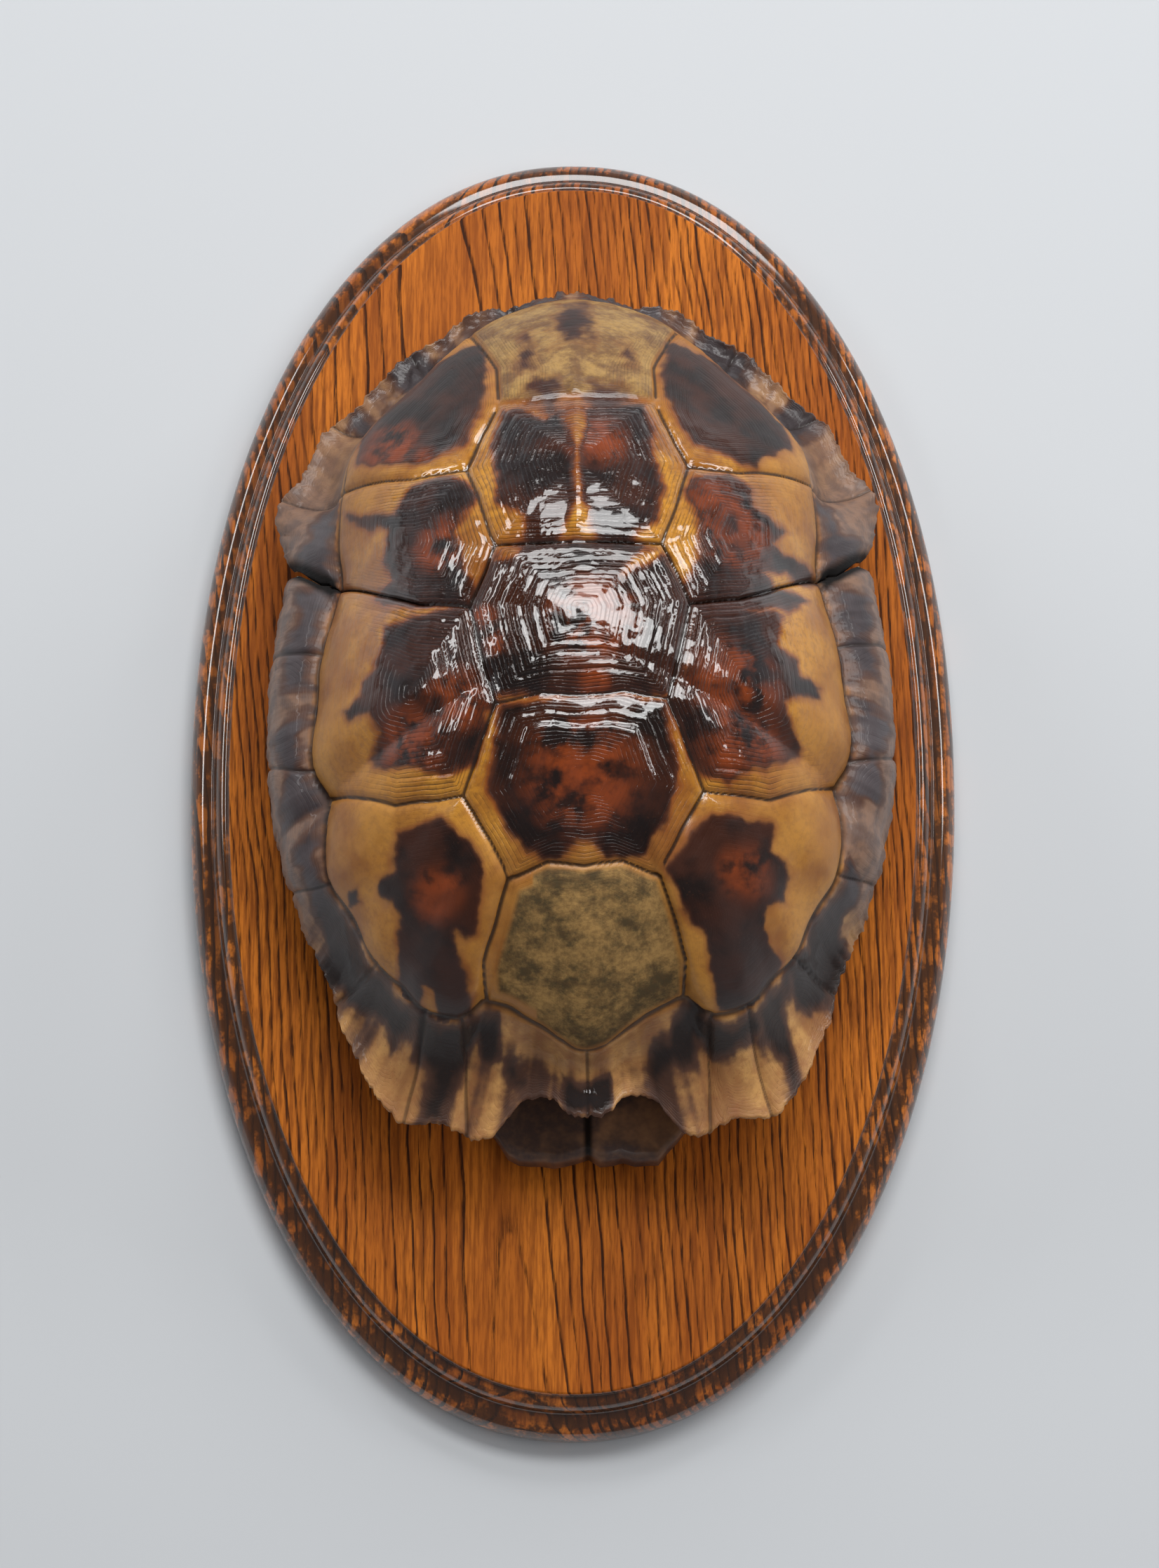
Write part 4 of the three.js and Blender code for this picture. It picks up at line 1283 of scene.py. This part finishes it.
# %% Finish of the carapace
def carapace_material():
    material, tree = fresh_material("carapace_horn")
    place = object_place(tree)
    masks = {key: carried(tree, key.lower()) for key in HORN_MASKS}
    horn = use(horn_tree, masks | {"Place": place})
    band, gloss = masks["Band"], masks["Gloss"]
    olive, dusty, bone, hinge = (carried(tree, key) for key in ("olive", "dusty", "bone", "hinge"))
    # The first vertebral is worn to olive with green-black clouds, and the fifth to dusty tan
    cloud = noise(place, 110.0, 6, 0.72)
    grime = noise(place, 700.0, 3, 0.7)
    worn = paint(
        blend(fade(cloud, 0.36, 0.62), tint(176, 138, 82), tint(82, 68, 44)),
        (fade(grime, 0.35, 0.7) * 0.5, tint(96, 70, 42)),
    )
    tan = paint(
        blend(fade(cloud, 0.38, 0.62), tint(176, 138, 78), tint(116, 80, 44)),
        (fade(grime, 0.38, 0.7) * 0.4, tint(104, 72, 46)),
    )
    # Painted shade: near black laid on the rim round the narrow hinge gap, standing in for the shade deep in
    # the gap
    hinge_gap_shade = (1.0 - fade(hinge, 1.2, 3.4)) * band
    color = paint(
        horn["Color"],
        (olive, worn),
        (dusty * (1.0 - horn["Dark"]), tan),
        (hinge_gap_shade, tint(14, 10, 9)),
        (bone, blend(noise(place, 90.0, 4), tint(196, 178, 140), tint(150, 124, 88))),
    )
    count = carried(tree, "rings") * FINE_RINGS
    ridges = use(ridge_tree, {"Count": count, "Amount": carried(tree, "ridges"), "Place": place})
    relief = bump(ridges["Height"], 1.0, 0.0002)
    dull = maths("MAXIMUM", bone, maths("MAXIMUM", olive, hinge_gap_shade))
    shade(tree, {
        "Base Color": color, "Normal": bump(noise(place, 500.0, 4, 0.6), 0.25, 0.0003, relief),
        "Roughness": dull * 0.4 + (gloss * -0.38 + 0.5), "Specular IOR Level": 0.4,
        "Coat Weight": (gloss * gloss * 0.62 + 0.08) * (dull * -0.9 + 1.0),
        "Coat Roughness": 0.06, "Coat IOR": VARNISH_IOR,
    })
    return material


horn_finish = carapace_material()
for piece in (carapace_front, carapace_rear):
    piece.data.materials.append(horn_finish)


# %% Finish of the plastron
def plastron_material():
    material, tree = fresh_material("plastron_horn")
    place = object_place(tree)
    cloud = noise(place, 60.0, 4, 0.6)
    fine = noise(place, 600.0, 3, 0.6)
    color = paint(
        blend(fade(cloud, 0.46, 0.66), tint(78, 61, 56), tint(146, 106, 76)),
        (fade(fine, 0.4, 0.7) * 0.5, tint(114, 84, 64)),
        (fade(carried(tree, "seam"), 0.35, 0.9), tint(20, 14, 12)),
    )
    shade(tree, {
        "Base Color": color, "Normal": bump(fine, 0.4, 0.0004), "Roughness": 0.55,
        "Coat Weight": 0.15, "Coat Roughness": 0.2,
    })
    return material


plastron.data.materials.append(plastron_material())
print("finishes:", [material.name for material in bpy.data.materials])

# %% [markdown]
# Studio: a pale floor, and two window panes overhead towards the tail that draw the broken white lines on
# the growth ridges. A low strip on each side and a pale horizon give the steep sides their grey sheen, and
# the horn's colour on the rim's sides adds a painted grey sheen. A ceiling that isn't seen in reflections
# lifts the shadows.

# %% Floor
FLOOR_REACH, FLOOR_DROP = 6.0, 0.0004
floor_mesh = bpy.data.meshes.new("studio_floor")
floor_corners = [(x * FLOOR_REACH, y * FLOOR_REACH, 0) for x, y in ((-1, -1), (1, -1), (1, 1), (-1, 1))]
floor_mesh.from_pydata(floor_corners, [], [(0, 1, 2, 3)])
floor = put("studio_floor", floor_mesh)
floor.location.z = -FLOOR_DROP
floor_material, tree = fresh_material("studio_paper")
shade(tree, {"Base Color": tint(208, 211, 214), "Roughness": 0.9, "Specular IOR Level": 0.1})
floor_mesh.materials.append(floor_material)

# %% Surround
HORIZON, OVERHEAD, BEFORE_HEAD = (0.37, 0.38, 0.41, 1), (0.06, 0.06, 0.06, 1), (0.13, 0.13, 0.14, 1)
world = bpy.data.worlds.new("studio")
bpy.context.scene.world = world
world.use_nodes = True
sky = world.node_tree
# The room is pale round the horizon and dim overhead, so flat faces keep their own colour
_, toward_tail, height = axes(signal(sky, "ShaderNodeTexCoord", output="Generated"))
room = blend(fade(height, 0.05, 0.6), HORIZON, OVERHEAD)
room = blend(fade(toward_tail, -0.7, 0.3), BEFORE_HEAD, room)
background = sky.nodes["Background"]
sky.links.new(room.socket, background.inputs[0])
background.inputs[1].default_value = 0.9

# %% Lights
SHELL_MIDDLE = Vector((0, 0.05, 0.08))


def look(thing, place, aim):
    thing.location = place
    thing.rotation_mode = "QUATERNION"
    thing.rotation_quaternion = (Vector(aim) - Vector(place)).to_track_quat("-Z", "Y")


def soft_light(name, place, size, power, aim=SHELL_MIDDLE, in_gloss=True):
    data = bpy.data.lights.new(name, "AREA")
    data.shape = "RECTANGLE"
    data.size, data.size_y = size
    data.energy = power
    light = put(name, data)
    look(light, place, aim)
    light.visible_glossy = in_gloss


# Angle off the zenith towards the tail, shift to the side, width and power of each pane
PANE_AWAY = 1.5
PANES = {"window": (23, 0.2, 1.2, 12), "far_pane": (50, 0.1, 1.0, 8.5)}
for name, (degrees, shift, width, power) in PANES.items():
    tip = math.radians(degrees)
    away = Vector((shift, PANE_AWAY * math.sin(tip), PANE_AWAY * math.cos(tip)))
    soft_light(name, SHELL_MIDDLE + away, (width, 0.4), power)
for side, power in ((-1, 3.2), (1, 3.0)):
    soft_light(f"side_strip_{side}", (1.08 * side, 0.6, 0.95), (0.8, 0.14), power)
soft_light("ceiling", (0.6, -0.3, 1.8), (1.2, 1.2), 8, aim=(0, 0, 0), in_gloss=False)

# %% Camera
AIM = Vector((1.79, -2.63, 19.0)) * MM
EYE = Vector((1.79, -231.3, 1095.0)) * MM
SENSOR = 36.0
FOCAL_PIXELS, PHOTO_WIDTH = 6054, 1652
camera_data = bpy.data.cameras.new("camera")
camera_data.sensor_fit = "HORIZONTAL"
camera_data.sensor_width = SENSOR
camera_data.lens = SENSOR * FOCAL_PIXELS / PHOTO_WIDTH
camera = put("camera", camera_data)
look(camera, EYE, AIM)
bpy.context.scene.camera = camera
bpy.context.scene.view_settings.view_transform = "Standard"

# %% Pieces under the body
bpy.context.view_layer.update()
for piece in (carapace_front, carapace_rear, plastron, plaque):
    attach(piece, "root")
